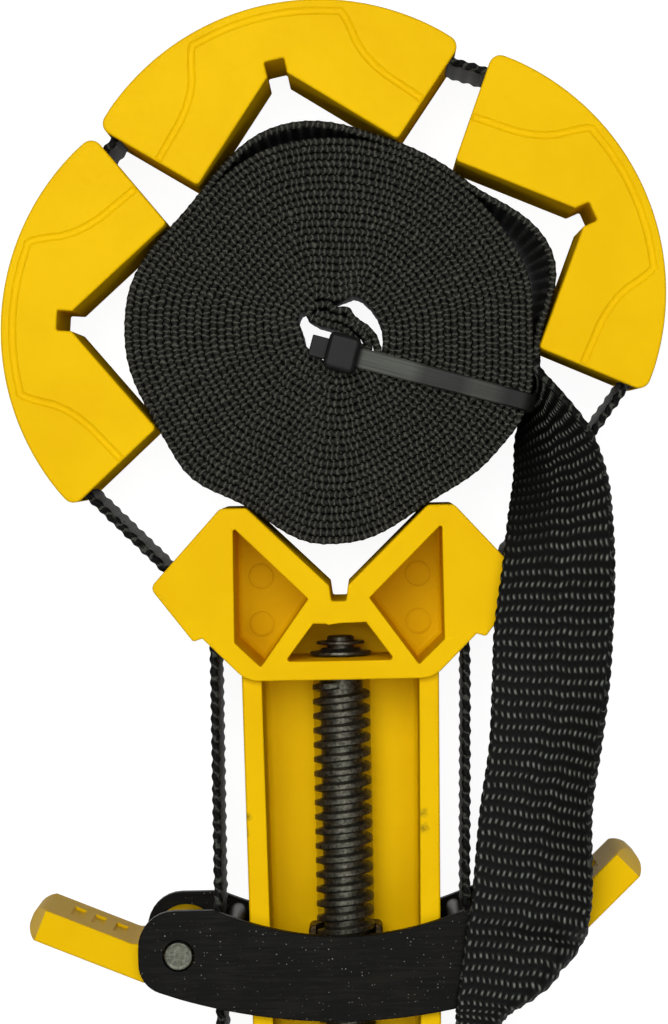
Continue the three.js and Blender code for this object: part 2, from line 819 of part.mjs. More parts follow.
// Legs of the band beside the channel
function leg(side, foot) {
  const half = bandThickness / 2;
  return block(side * legX - half, side * legX + half, foot, legSplit, bandBase, bandBase + bandWidth);
}

const rightLegFoot = plateBottom - rightLegTail;
add('band_left_leg', leg(-1, plateBottom - leftTailLength), webbing);
add('band_right_leg', leg(1, rightLegFoot), webbing);

// Free strap: a grid of points across the width, thickened both ways
function strapLine() {
  const [rollEndX, rollEndY] = rollLine[rollLine.length - 1];
  const start = rollEndY - rollStrip;
  const span = start - plateTop;
  const lift = frontFace + rivetProud + fit + bandThickness / 2 - bandBase;
  const edges = strapSections.map(({ run, side, lift: share }) => {
    const line = THREE.MathUtils.lerp(rollEndX, legX, Math.min(run, 1));
    return new THREE.Vector3(line + side * bandWidth, start - run * span, bandBase + share * lift);
  });
  const tilts = strapSections.map(({ tilts: [a, b] }) => new THREE.Vector3(a, b, 0));
  const bends = strapSections.map(({ bend: [a, b] }) => new THREE.Vector3(a, b, 0));
  const curves = [edges, tilts, bends].map((points) => new THREE.CatmullRomCurve3(points, false, 'catmullrom'));
  return Array.from({ length: strapStations }, (_, i) => {
    const [edge, tilt, bend] = curves.map((curve) => curve.getPoint(i / (strapStations - 1)));
    return strapSection(edge, [tilt.x, tilt.y], [bend.x, bend.y]);
  });
}

function strapSection(edge, tilts, bend) {
  const step = bandWidth / strapWidthSteps;
  const row = [edge.clone()];
  for (let k = 0; k < strapWidthSteps; k += 1) {
    const share = THREE.MathUtils.smoothstep((k + 0.5) / strapWidthSteps, bend[0], bend[1]);
    const tilt = turn(THREE.MathUtils.lerp(tilts[0], tilts[1], share));
    const last = row[row.length - 1];
    row.push(last.clone().add(new THREE.Vector3(Math.cos(tilt) * step, 0, Math.sin(tilt) * step)));
  }
  return row;
}

function uprightSection(x, y) {
  const step = bandWidth / strapWidthSteps;
  return Array.from({ length: strapWidthSteps + 1 }, (_, k) => {
    return new THREE.Vector3(x, y, bandBase + bandWidth - step * k);
  });
}

function strapTurn() {
  const foot = plateBottom - strapFoot;
  const centre = [legX + strapTurnRadius, foot];
  const bend = arc(centre, strapTurnRadius, 0, -180, strapTurnSteps);
  return [...bend, [legX, rightLegFoot - fit]].map(([x, y]) => uprightSection(x, y));
}

function bandShell(rows, thickness) {
  const across = rows[0].length;
  const points = [];
  rows.forEach((row, i) => {
    const before = rows[Math.max(i - 1, 0)];
    const after = rows[Math.min(i + 1, rows.length - 1)];
    const ring = row.map((point, k) => {
      const along = after[k].clone().sub(before[k]);
      const wide = row[Math.min(k + 1, across - 1)].clone().sub(row[Math.max(k - 1, 0)]);
      return along.cross(wide).setLength(thickness / 2);
    });
    row.forEach((point, k) => points.push(point.clone().add(ring[k])));
    row.forEach((point, k) => points.push(point.clone().sub(ring[k])));
  });
  const at = (i, k, side) => (2 * i + side) * across + k;
  const faces = [];
  const quad = (a, b, c, d) => faces.push(a, b, c, a, c, d);
  for (let i = 0; i < rows.length - 1; i += 1) {
    for (let k = 0; k < across - 1; k += 1) {
      quad(at(i, k, 0), at(i + 1, k, 0), at(i + 1, k + 1, 0), at(i, k + 1, 0));
      quad(at(i, k, 1), at(i, k + 1, 1), at(i + 1, k + 1, 1), at(i + 1, k, 1));
    }
    quad(at(i, 0, 0), at(i, 0, 1), at(i + 1, 0, 1), at(i + 1, 0, 0));
    quad(at(i, across - 1, 0), at(i + 1, across - 1, 0), at(i + 1, across - 1, 1), at(i, across - 1, 1));
  }
  const last = rows.length - 1;
  for (let k = 0; k < across - 1; k += 1) {
    quad(at(0, k, 0), at(0, k + 1, 0), at(0, k + 1, 1), at(0, k, 1));
    quad(at(last, k, 0), at(last, k, 1), at(last, k + 1, 1), at(last, k + 1, 0));
  }
  const geometry = new THREE.BufferGeometry().setFromPoints(points);
  geometry.setIndex(faces);
  return solid(geometry);
}

add('band_strap', bandShell([...strapLine(), ...strapTurn()], bandThickness), webbing);

// Cable tie round one side of the roll, drawn flat and then stood up across the laps
function cableTie() {
  const core = polar(rollCentre, rollCoreShift, rollCoreShiftAngle);
  const back = bandBase - fit;
  const front = bandBase + bandWidth + fit;
  const backReach = tieBackReachShare * rollRadius;
  const frontReach = tieFrontReachShare * rollRadius;
  const hole = outline([[tieInnerReach + tieThickness, back], [backReach, back], [frontReach, front],
    [tieInnerReach + tieThickness, front]]);
  const rim = outline([
    [tieInnerReach, back - tieThickness, tieFillet],
    [backReach + tieThickness, back - tieThickness, tieFillet],
    [frontReach + tieThickness, front + tieThickness, tieFillet],
    [tieInnerReach, front + tieThickness, tieFillet],
  ]);
  const half = tieWidth / 2;
  const headHalf = tieHeadWidth / 2;
  const headEnd = tieHeadStart + tieHeadLength;
  const head = outline([
    [tieHeadStart, front, tieHeadFillet],
    [headEnd, front, tieHeadFillet],
    [headEnd, front + tieHeadHeight, tieHeadFillet],
    [tieHeadStart, front + tieHeadHeight, tieHeadFillet],
  ]);
  const stub = block(tieHeadStart - tieStubLength, headEnd - tieHeadFillet, front + tieThickness,
    front + 2 * tieThickness, -half, half);
  return prism(rim, -half, half)
    .subtract(prism(hole, -tieWidth, tieWidth))
    .add(prism(head, -headHalf, headHalf))
    .add(stub)
    .translate([0, 0, tieOffset])
    .rotate([90, 0, tieAngle])
    .translate([core[0], core[1], 0]);
}

add('cable_tie', cableTie(), blackPlastic);

// Handle: fluted grip, its cross pin and the washer against the frame
function gripSurface() {
  const stations = [
    [0, gripCollarRadius, 0],
    [gripCollarShares[0], gripCollarRadius, 0],
    [gripCollarShares[1], gripNeckRadius, 0],
    ...Array.from({ length: gripRings }, (_, i) => {
      const share = (i + 1) / gripRings;
      const swell = Math.sin(Math.PI * share ** gripSwellPower);
      const low = THREE.MathUtils.lerp(gripNeckRadius, gripEndRadius, share);
      const fade = THREE.MathUtils.smoothstep(share, 0, gripFluteFade)
        * THREE.MathUtils.smoothstep(1 - share, 0, gripFluteFade);
      return [THREE.MathUtils.lerp(gripCollarShares[1], gripEndShare, share), low + (gripRadius - low) * swell, fade];
    }),
    [1, gripEndRadius * gripDomeShare, 0],
  ];
  const points = [new THREE.Vector3(0, gripTop, screwHeight)];
  stations.forEach(([share, radius, fade]) => {
    for (let k = 0; k < gripSteps; k += 1) {
      const angle = (2 * Math.PI * k) / gripSteps;
      const flute = Math.max(0, Math.cos(gripFlutes * angle)) ** 2;
      const reach = radius * (1 - gripFluteShare * fade * flute);
      const y = gripTop - share * gripLength;
      points.push(new THREE.Vector3(reach * Math.sin(angle), y, screwHeight + reach * Math.cos(angle)));
    }
  });
  points.push(new THREE.Vector3(0, gripTop - gripLength, screwHeight));
  const at = (i, k) => 1 + i * gripSteps + (k % gripSteps);
  const faces = [];
  for (let k = 0; k < gripSteps; k += 1) {
    faces.push(0, at(0, k), at(0, k + 1));
    for (let i = 0; i < stations.length - 1; i += 1) {
      faces.push(at(i, k), at(i + 1, k), at(i + 1, k + 1), at(i, k), at(i + 1, k + 1), at(i, k + 1));
    }
    faces.push(points.length - 1, at(stations.length - 1, k + 1), at(stations.length - 1, k));
  }
  const geometry = new THREE.BufferGeometry().setFromPoints(points);
  geometry.setIndex(faces);
  return solid(geometry);
}

const pinY = gripTop - gripPinDrop;

function handleGrip() {
  return gripSurface()
    .subtract(barY(lowerJournalDiameter / 2 + fit, gripTop - gripBoreDepth, gripTop + overrun))
    .subtract(postZ(0, pinY, gripPinDiameter / 2 + fit, -overrun, mouldDepth + overrun));
}

add('handle_grip', handleGrip(), blackPlastic);
const pinReach = gripCollarRadius - fit;
add('handle_pin', postZ(0, pinY, gripPinDiameter / 2, screwHeight - pinReach, screwHeight + pinReach), bareSteel);
add('collar_washer', ringY(
  collarWasherDiameter / 2,
  lowerJournalDiameter / 2 + fit,
  gripTop + fit,
  gripTop + fit + collarWasherThickness,
), bareSteel);

clamp.position.y = -restPoint;

export default clamp;
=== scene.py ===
import math
from functools import partial
import bmesh
import bpy
import numpy as np
from mathutils import Matrix, Vector


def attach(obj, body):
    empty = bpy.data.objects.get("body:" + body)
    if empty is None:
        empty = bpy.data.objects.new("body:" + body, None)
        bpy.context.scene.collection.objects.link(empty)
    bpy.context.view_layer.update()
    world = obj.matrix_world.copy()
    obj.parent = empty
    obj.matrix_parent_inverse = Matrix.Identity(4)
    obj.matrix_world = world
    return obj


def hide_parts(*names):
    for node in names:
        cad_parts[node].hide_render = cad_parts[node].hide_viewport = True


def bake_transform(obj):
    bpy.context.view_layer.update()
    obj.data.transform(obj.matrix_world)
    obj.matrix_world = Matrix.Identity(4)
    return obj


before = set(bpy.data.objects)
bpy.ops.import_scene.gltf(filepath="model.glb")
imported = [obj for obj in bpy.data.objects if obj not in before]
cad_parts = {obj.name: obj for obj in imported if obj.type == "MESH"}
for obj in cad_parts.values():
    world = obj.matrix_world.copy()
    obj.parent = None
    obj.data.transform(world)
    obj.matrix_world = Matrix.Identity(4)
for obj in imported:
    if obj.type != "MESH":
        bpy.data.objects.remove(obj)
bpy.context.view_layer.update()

# Sizes are millimetres, counted from the lower edge of the head as in the clamp's own drawing
mm = 0.001
clamp = {"restPoint": 12.0, "screwHeight": 15.5, "depth": 31.0, "headHeight": 35.3}
tiny = 1e-9  # below this a length counts as none
leastFillet = 0.02
weldReach = 1e-5


def toRow(points):
    rows = np.asarray(points, float).reshape(-1, 3)
    return (rows - np.array([0, clamp["restPoint"], 0])) * mm


def polar(centre, radius, degrees):
    angle = math.radians(degrees)
    return (centre[0] + radius * math.cos(angle), centre[1] + radius * math.sin(angle))


def arcPoints(centre, radius, start, end, steps):
    return [polar(centre, radius, start + (end - start) * i / steps) for i in range(steps + 1)]


def ringPoints(centre, radius, steps):
    return arcPoints(centre, radius, 0, 360, steps)[:-1]


def filleted(corners, steps=8):  # corners are (x, y) or (x, y, radius)
    made = []
    for i, corner in enumerate(corners):
        here = np.array(corner[:2], float)
        radius = corner[2] if len(corner) > 2 else 0
        if not radius:
            made.append(here)
            continue
        before = np.array(corners[i - 1][:2], float) - here
        after = np.array(corners[(i + 1) % len(corners)][:2], float) - here
        before, after = before / np.linalg.norm(before), after / np.linalg.norm(after)
        half = math.acos(max(-1, min(1, float(before @ after)))) / 2
        middle = (before + after) / np.linalg.norm(before + after)
        centre = here + middle * radius / math.sin(half)
        start = here + before * radius / math.tan(half) - centre
        side = math.copysign(1, after[0] * before[1] - after[1] * before[0])
        for k in range(steps + 1):
            angle = side * (math.pi - 2 * half) * k / steps
            turned = (start[0] * math.cos(angle) - start[1] * math.sin(angle),
                      start[0] * math.sin(angle) + start[1] * math.cos(angle))
            made.append(centre + np.array(turned))
    return np.array(made)


def counterClockwise(corners):
    x, y = (np.array([c[i] for c in corners]) for i in (0, 1))
    area = np.sum(x * np.roll(y, -1) - np.roll(x, -1) * y)
    return list(corners) if area > 0 else list(corners)[::-1]


def movedIn(corners, distance):  # a counter-clockwise outline moved inwards, its fillets with it
    points = np.array([c[:2] for c in corners], float)
    ahead = np.roll(points, -1, 0) - points
    ahead /= np.linalg.norm(ahead, axis=1)[:, None]
    before = np.roll(ahead, 1, 0)
    along = ahead + before
    along /= np.linalg.norm(along, axis=1)[:, None]
    reach = distance / np.clip(np.sum(along * ahead, 1), 0.25, 1)
    moved = points + np.stack([-along[:, 1], along[:, 0]], 1) * reach[:, None]
    outward = before[:, 0] * ahead[:, 1] - before[:, 1] * ahead[:, 0] > 0
    radii = [c[2] if len(c) > 2 else 0 for c in corners]
    radii = [r and max(r - distance if out else r + distance, leastFillet) for r, out in zip(radii, outward)]
    return filleted([(x, y, r) for (x, y), r in zip(moved, radii)])


def ribbonLoop(line, width):  # the outline of a strip of even width along an open line
    line = np.asarray(line, float)
    ahead = np.diff(line, axis=0)
    ahead /= np.linalg.norm(ahead, axis=1)[:, None]
    second = np.vstack([ahead, ahead[-1:]])
    along = np.vstack([ahead[:1], ahead]) + second
    along /= np.linalg.norm(along, axis=1)[:, None]
    reach = width / 2 / np.clip(np.sum(along * second, 1), 0.5, 1)
    out = np.stack([-along[:, 1], along[:, 0]], 1) * reach[:, None]
    return np.vstack([line + out, (line - out)[::-1]])


def quarterTurn(steps):
    return [math.pi / 2 * k / steps for k in range(steps + 1)]


def rimProfile(z0, z1, low, high, steps=4):  # (inset, z) up one wall, rounded at both ends
    turns = quarterTurn(steps)
    foot = [(low * (1 - math.sin(a)), z0 + low * (1 - math.cos(a))) for a in turns]
    head = [(high * (1 - math.cos(a)), z1 - high * (1 - math.sin(a))) for a in turns]
    return foot + head


def newObject(name, mesh):
    obj = bpy.data.objects.new(name, mesh)
    bpy.context.scene.collection.objects.link(obj)
    return obj


def joinRows(bm, low, high):
    for k in range(len(low)):
        n = (k + 1) % len(low)
        bm.faces.new((low[k], low[n], high[n], high[k]))


def addRings(bm, rings):
    rows = [[bm.verts.new(p) for p in ring] for ring in rings]
    for low, high in zip(rows, rows[1:]):
        joinRows(bm, low, high)
    return rows


def loopEdges(bm, row):
    return [bm.edges.get((row[k], row[(k + 1) % len(row)])) for k in range(len(row))]


def level(corners, distance, z):
    loop = movedIn(corners, distance)
    return np.c_[loop, np.full(len(loop), z)]


# A solid on an outline, with pockets (outline, floor, rim, floor fillet) and through holes (outline, rim)
def carved(name, corners, profile, pockets=(), holes=()):
    bm = bmesh.new()
    corners = counterClockwise(corners)
    rows = addRings(bm, [level(corners, d, z) for d, z in profile])
    z0, z1 = profile[0][1], profile[-1][1]
    lowEdges, highEdges = loopEdges(bm, rows[0]), loopEdges(bm, rows[-1])
    for pocket, floor, rim, fillet in pockets:
        ring = counterClockwise(pocket)
        wall = [(-d, z) for d, z in rimProfile(floor, z1, 0, rim)][::-1]
        foot = [(fillet * (1 - math.cos(a)), floor + fillet * (1 - math.sin(a))) for a in quarterTurn(4)]
        wall = [w for w in wall if w[1] > floor + fillet + tiny] + foot
        pocketRows = addRings(bm, [level(ring, d, z) for d, z in wall])
        highEdges += loopEdges(bm, pocketRows[0])
        fillEdges(bm, loopEdges(bm, pocketRows[-1]))
    for hole, rim in holes:
        ring = counterClockwise(hole)
        wall = [(-d, z) for d, z in rimProfile(z0, z1, rim, rim)]
        holeRows = addRings(bm, [level(ring, d, z) for d, z in wall])
        lowEdges += loopEdges(bm, holeRows[0])
        highEdges += loopEdges(bm, holeRows[-1])
    fillEdges(bm, lowEdges)
    fillEdges(bm, highEdges)
    return fromBmesh(name, bm)


def fillEdges(bm, edges):
    bmesh.ops.triangle_fill(bm, use_beauty=True, use_dissolve=False, edges=edges)


def fromBmesh(name, bm):
    bmesh.ops.remove_doubles(bm, verts=bm.verts, dist=weldReach)
    bmesh.ops.recalc_face_normals(bm, faces=bm.faces)
    mesh = bpy.data.meshes.new(name)
    bm.to_mesh(mesh)
    bm.free()
    return newObject(name, mesh)


# Turned about the screw's axis: profile is (radius, y) pairs, and a profile that starts at 0 radius is closed
def lathe(name, profile, steps=64):
    bm = bmesh.new()
    angles = np.linspace(0, 2 * math.pi, steps, endpoint=False)
    height = clamp["screwHeight"]
    rings = [np.c_[r * np.sin(angles), np.full(steps, y), height + r * np.cos(angles)] for r, y in profile]
    rows = addRings(bm, rings)
    if profile[0][0] < tiny:
        for row in (rows[0], rows[-1]):
            bmesh.ops.pointmerge(bm, verts=row, merge_co=row[0].co)
        bmesh.ops.dissolve_degenerate(bm, dist=weldReach / 10, edges=bm.edges)
    else:
        joinRows(bm, rows[-1], rows[0])
    return fromBmesh(name, bm)


def boolean(obj, operation, others):
    for other in others:
        modifier = obj.modifiers.new("boolean", "BOOLEAN")
        modifier.operation, modifier.object, modifier.solver = operation, other, "EXACT"
        mesh = bpy.data.meshes.new_from_object(obj.evaluated_get(bpy.context.evaluated_depsgraph_get()))
        obj.modifiers.clear()
        obj.data = mesh
    drop(*others)
    return obj


def cut(obj, *cutters):
    return boolean(obj, "DIFFERENCE", cutters)


def weld(obj, *others):
    return boolean(obj, "UNION", others)


def drop(*objs):
    for obj in objs:
        bpy.data.objects.remove(obj)


# Millimetres to the row's frame, smooth faces with crisp corners, and a place on a body
def finished(obj, body, material, nodes=(), angle=32):
    obj.data.transform(Matrix.Translation((0, -clamp["restPoint"] * mm, 0)) @ Matrix.Scale(mm, 4))
    obj.data.materials.clear()
    obj.data.materials.append(material)
    obj.data.polygons.foreach_set("use_smooth", [True] * len(obj.data.polygons))
    obj.data.set_sharp_from_angle(angle=math.radians(angle))
    weighted = obj.modifiers.new("flatFaces", "WEIGHTED_NORMAL")
    weighted.keep_sharp = True
    if body:
        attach(obj, body)
    if nodes:
        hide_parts(*nodes)
    return obj


def shader(name):
    material = bpy.data.materials.new(name)
    material.use_nodes = True
    nodes, links = material.node_tree.nodes, material.node_tree.links
    return material, nodes, links, nodes["Principled BSDF"]


def node(nodes, kind, links=None, inputs=(), **settings):
    made = nodes.new(kind)
    for key, value in settings.items():
        setattr(made, key, value)
    for key, value in dict(inputs).items():
        if isinstance(value, bpy.types.NodeSocket):
            links.new(value, made.inputs[key])
        else:
            made.inputs[key].default_value = value
    return made


def ramp(nodes, links, factor, stops):
    made = node(nodes, "ShaderNodeValToRGB", links, {"Fac": factor})
    elements = made.color_ramp.elements
    while len(elements) < len(stops):
        elements.new(0.5)
    for element, (place, colour) in zip(elements, stops):
        element.position, element.color = place, (*colour, 1)
    return made.outputs["Color"]


def noise(nodes, links, place, scale, detail=3.0, roughness=0.6):
    settings = {"Vector": place, "Scale": scale, "Detail": detail, "Roughness": roughness}
    return node(nodes, "ShaderNodeTexNoise", links, settings).outputs["Fac"]


def spread(nodes, links, value, low, high, start, end):
    ends = {"Value": value, "From Min": low, "From Max": high, "To Min": start, "To Max": end}
    return node(nodes, "ShaderNodeMapRange", links, ends).outputs["Result"]


def bumped(nodes, links, bsdf, height, distance, strength=1.0):
    settings = {"Height": height, "Distance": distance, "Strength": strength}
    made = node(nodes, "ShaderNodeBump", links, settings)
    links.new(made.outputs["Normal"], bsdf.inputs["Normal"])


def mathNode(nodes, links, operation, a, b=0.0, c=0.0):
    return node(nodes, "ShaderNodeMath", links, {0: a, 1: b, 2: c}, operation=operation).outputs["Value"]


def blended(nodes, links, factor, base, over):  # from the base colour to a plain one
    made = node(nodes, "ShaderNodeMix", data_type="RGBA")
    colours = [s for s in made.inputs if s.type == "RGBA"]
    links.new(factor, made.inputs[0])
    links.new(base, colours[0])
    colours[1].default_value = (*over, 1)
    return [s for s in made.outputs if s.type == "RGBA"][0]


def objectPlace(nodes):
    return node(nodes, "ShaderNodeTexCoord").outputs["Object"]


def stretchedPlace(nodes, links, place, scale):
    return node(nodes, "ShaderNodeMapping", links, {"Vector": place, "Scale": scale}).outputs["Vector"]


yellowLook = {
    "colour": (0.83, 0.505, 0.0015), "shade": (0.79, 0.465, 0.0013), "roughness": (0.30, 0.46),
    "cloud": 34.0, "grain": 5200.0, "grainDepth": 0.00003, "scuff": 900.0, "gloss": 0.22,
    "glossTint": (1.0, 0.68, 0.08), "dirt": (0.16, 0.10, 0.01), "smudgeHeight": 28.5, "dirtMost": 0.75,
    "cloudStops": (0.38, 0.58), "scuffSpan": (0.35, 0.7), "dirtSpan": (0.22, 0.5), "facing": (0.45, 0.8),
    "smudges": [(-19.6, -27.8, 2.2), (-20.2, -31.0, 2.6), (16.4, -27.6, 2.2), (16.4, -30.8, 2.6)],
}


def yellowPlastic(name, sheen):
    look = yellowLook
    material, nodes, links, bsdf = shader(name)
    place = objectPlace(nodes)
    cloud = noise(nodes, links, place, look["cloud"], 4.0)
    plain = ramp(nodes, links, cloud, list(zip(look["cloudStops"], (look["shade"], look["colour"]))))
    scuff = noise(nodes, links, place, look["scuff"], 6.0, 0.7)
    dirty = None
    for x, y, reach in look["smudges"]:
        centre = toRow([(x, y, look["smudgeHeight"])])[0]
        away = node(nodes, "ShaderNodeVectorMath", links, {0: place, 1: centre}, operation="DISTANCE")
        near = spread(nodes, links, away.outputs["Value"], 0.0, reach * mm, 1.0, 0.0)
        dirty = near if dirty is None else mathNode(nodes, links, "MAXIMUM", dirty, near)
    soiled = mathNode(nodes, links, "MULTIPLY", dirty, scuff)
    dirty = spread(nodes, links, soiled, *look["dirtSpan"], 0.0, look["dirtMost"])
    links.new(blended(nodes, links, dirty, plain, look["dirt"]), bsdf.inputs["Base Color"])
    links.new(spread(nodes, links, scuff, *look["scuffSpan"], *look["roughness"]), bsdf.inputs["Roughness"])
    bumped(nodes, links, bsdf, noise(nodes, links, place, look["grain"], 2.0), look["grainDepth"], 0.5)
    facing = node(nodes, "ShaderNodeLayerWeight", links, {"Blend": 0.5}).outputs["Facing"]
    fading = spread(nodes, links, facing, *look["facing"], look["gloss"], sheen)
    links.new(fading, bsdf.inputs["Specular IOR Level"])
    bsdf.inputs["Specular Tint"].default_value = (*look["glossTint"], 1)
    return material


plateLook = {
    "colour": (0.0022, 0.0021, 0.0016), "worn": (0.0085, 0.0082, 0.0062), "speck": (0.30, 0.30, 0.26),
    "cells": 1500.0, "brush": (120.0, 1700.0, 400.0), "gloss": 0.07, "grime": 130.0,
    "wornStops": (0.20, 0.36), "dots": (0.02, 0.2), "dotPaleness": (0.05, 0.8), "roughness": (0.42, 0.62),
    "grainDepth": 0.00006,
}


def blackSteel():
    look = plateLook
    material, nodes, links, bsdf = shader("blackSteel")
    place = objectPlace(nodes)
    streak = noise(nodes, links, stretchedPlace(nodes, links, place, look["brush"]), 1.0, 5.0)
    grime = noise(nodes, links, place, look["grime"], 4.0)
    worn = mathNode(nodes, links, "MULTIPLY", streak, grime)
    base = ramp(nodes, links, worn, list(zip(look["wornStops"], (look["colour"], look["worn"]))))
    cells = node(nodes, "ShaderNodeTexVoronoi", links, {"Vector": place, "Scale": look["cells"]}).outputs
    lot = node(nodes, "ShaderNodeSeparateXYZ", links, {"Vector": cells["Color"]}).outputs
    reach = spread(nodes, links, lot["X"], 0.3, 1.0, *look["dots"])  # most dots are too small to see
    dot = mathNode(nodes, links, "LESS_THAN", cells["Distance"], reach)
    pale = spread(nodes, links, lot["Y"], 0.3, 1.0, *look["dotPaleness"])
    faint = mathNode(nodes, links, "MULTIPLY", dot, pale)
    links.new(blended(nodes, links, faint, base, look["speck"]), bsdf.inputs["Base Color"])
    links.new(spread(nodes, links, grime, 0.3, 0.7, *look["roughness"]), bsdf.inputs["Roughness"])
    bsdf.inputs["Specular IOR Level"].default_value = look["gloss"]
    bumped(nodes, links, bsdf, streak, look["grainDepth"], 0.5)
    return material


steelLook = {"dark": (0.04, 0.042, 0.032), "light": (0.13, 0.135, 0.105), "scale": 1300.0, "roughness": 0.4}
threadLook = {"dark": (0.012, 0.011, 0.008), "light": (0.13, 0.125, 0.095), "scale": 1500.0, "roughness": 0.4}
pinLook = {"dark": (0.022, 0.017, 0.012), "light": (0.075, 0.06, 0.045), "scale": 1200.0, "roughness": 0.5}
# the nut's brown tint is painted reflection: the yellow plastic's warm bounce painted onto a black steel nut
nutBounceLook = {"dark": (0.022, 0.014, 0.005), "light": (0.075, 0.045, 0.014), "scale": 900.0, "roughness": 0.5}
steelGrain = {"stops": (0.35, 0.68), "metallic": 0.8, "depth": 0.00006}


def plainSteel(name, look):
    material, nodes, links, bsdf = shader(name)
    grain = noise(nodes, links, objectPlace(nodes), look["scale"], 5.0, 0.7)
    colour = ramp(nodes, links, grain, list(zip(steelGrain["stops"], (look["dark"], look["light"]))))
    links.new(colour, bsdf.inputs["Base Color"])
    bsdf.inputs["Metallic"].default_value = steelGrain["metallic"]
    bsdf.inputs["Roughness"].default_value = look["roughness"]
    bumped(nodes, links, bsdf, grain, steelGrain["depth"], 0.6)
    return material


nylonLook = {
    "dark": (0.0028, 0.0030, 0.0028), "light": (0.0062, 0.0064, 0.006), "roughness": (0.34, 0.5),
    # the pale colour and the reaches below are painted sheen, reflected light painted onto the tie's strap
    "gloss": 0.12, "streak": (40.0, 2600.0, 500.0), "paintedSheen": (0.095, 0.10, 0.082), "grain": 900.0,
    "grainStops": (0.3, 0.7), "grainDepth": 0.00005, "streakSpan": (0.25, 0.75), "streakLeast": 0.3,
    "reaches": [(0.0, 0.0), (4.6, 0.0), (5.2, 1.0), (15.5, 0.95), (18.5, 0.3), (26.0, 0.2), (29.0, 0.6),
                (33.0, 0.5), (36.0, 0.03)],
}


def blackNylon(name, sheenFrom=None, angle=0.0):  # given a point, the strap gets painted sheen: pale bands at set reaches from that point stand in for reflected light
    look = nylonLook
    material, nodes, links, bsdf = shader(name)
    place = objectPlace(nodes)
    grain = noise(nodes, links, place, look["grain"])
    colour = ramp(nodes, links, grain, list(zip(look["grainStops"], (look["dark"], look["light"]))))
    if sheenFrom is not None:
        # painted sheen: pale bands at set reaches along the strap stand in for light reflected off it, broken
        # up by streaks
        start, far = toRow([(*sheenFrom, 0)])[0], look["reaches"][-1][0]
        off = node(nodes, "ShaderNodeVectorMath", links, {0: place, 1: start}, operation="SUBTRACT")
        turned = {"Vector": off.outputs["Vector"], "Rotation": (0, 0, math.radians(-angle))}
        along = node(nodes, "ShaderNodeMapping", links, turned).outputs["Vector"]
        reach = node(nodes, "ShaderNodeSeparateXYZ", links, {"Vector": along}).outputs["X"]
        stops = [(r / far, (share,) * 3) for r, share in look["reaches"]]
        share = ramp(nodes, links, mathNode(nodes, links, "DIVIDE", reach, far * mm), stops)
        streak = noise(nodes, links, stretchedPlace(nodes, links, along, look["streak"]), 1.0, 4.0)
        streakedSheen = spread(nodes, links, streak, *look["streakSpan"], look["streakLeast"], 1.0)
        pale = mathNode(nodes, links, "MULTIPLY", share, streakedSheen)
        colour = blended(nodes, links, pale, colour, look["paintedSheen"])
    links.new(colour, bsdf.inputs["Base Color"])
    links.new(spread(nodes, links, grain, 0.0, 1.0, *look["roughness"]), bsdf.inputs["Roughness"])
    bsdf.inputs["Specular IOR Level"].default_value = look["gloss"]
    bumped(nodes, links, bsdf, grain, look["grainDepth"], 0.4)
    return material


weave = {
    "rib": 1.25, "row": 2.5, "lean": 0.42, "ribHeight": 0.10, "knotHeight": 0.15,
    # gap is painted shade between the yarns, speck is painted glints on the weft, and shadowRun and
    # shadowSide place a painted shadow
    "gap": (0.0012, 0.0012, 0.0010), "colour": (0.0052, 0.0054, 0.0045), "thread": (0.030, 0.031, 0.026),
    "speck": (0.16, 0.17, 0.148), "shadowRun": (0.015, 0.055), "shadowSide": (0.003, 0.012),
    "shadowLeast": 0.45, "roughness": 0.62, "gloss": 0.1, "yarnDepth": 0.00009,
    "stops": (0.25, 0.5, 0.71, 0.98), "wobble": (620.0, 1.5), "fibre": (5200.0, 0.6), "meeting": 0.9,
    "glint": (-0.2, 2.05),
    "slopes": [(0, 0.5), (22, 0.42), (48, 0.05), (70, -0.03), (95, -0.14), (200, -0.12)],
    "waves": [(0.16, 9.5, 0.0), (0.12, 5.6, 1.0)], "waveRun": 37,
}


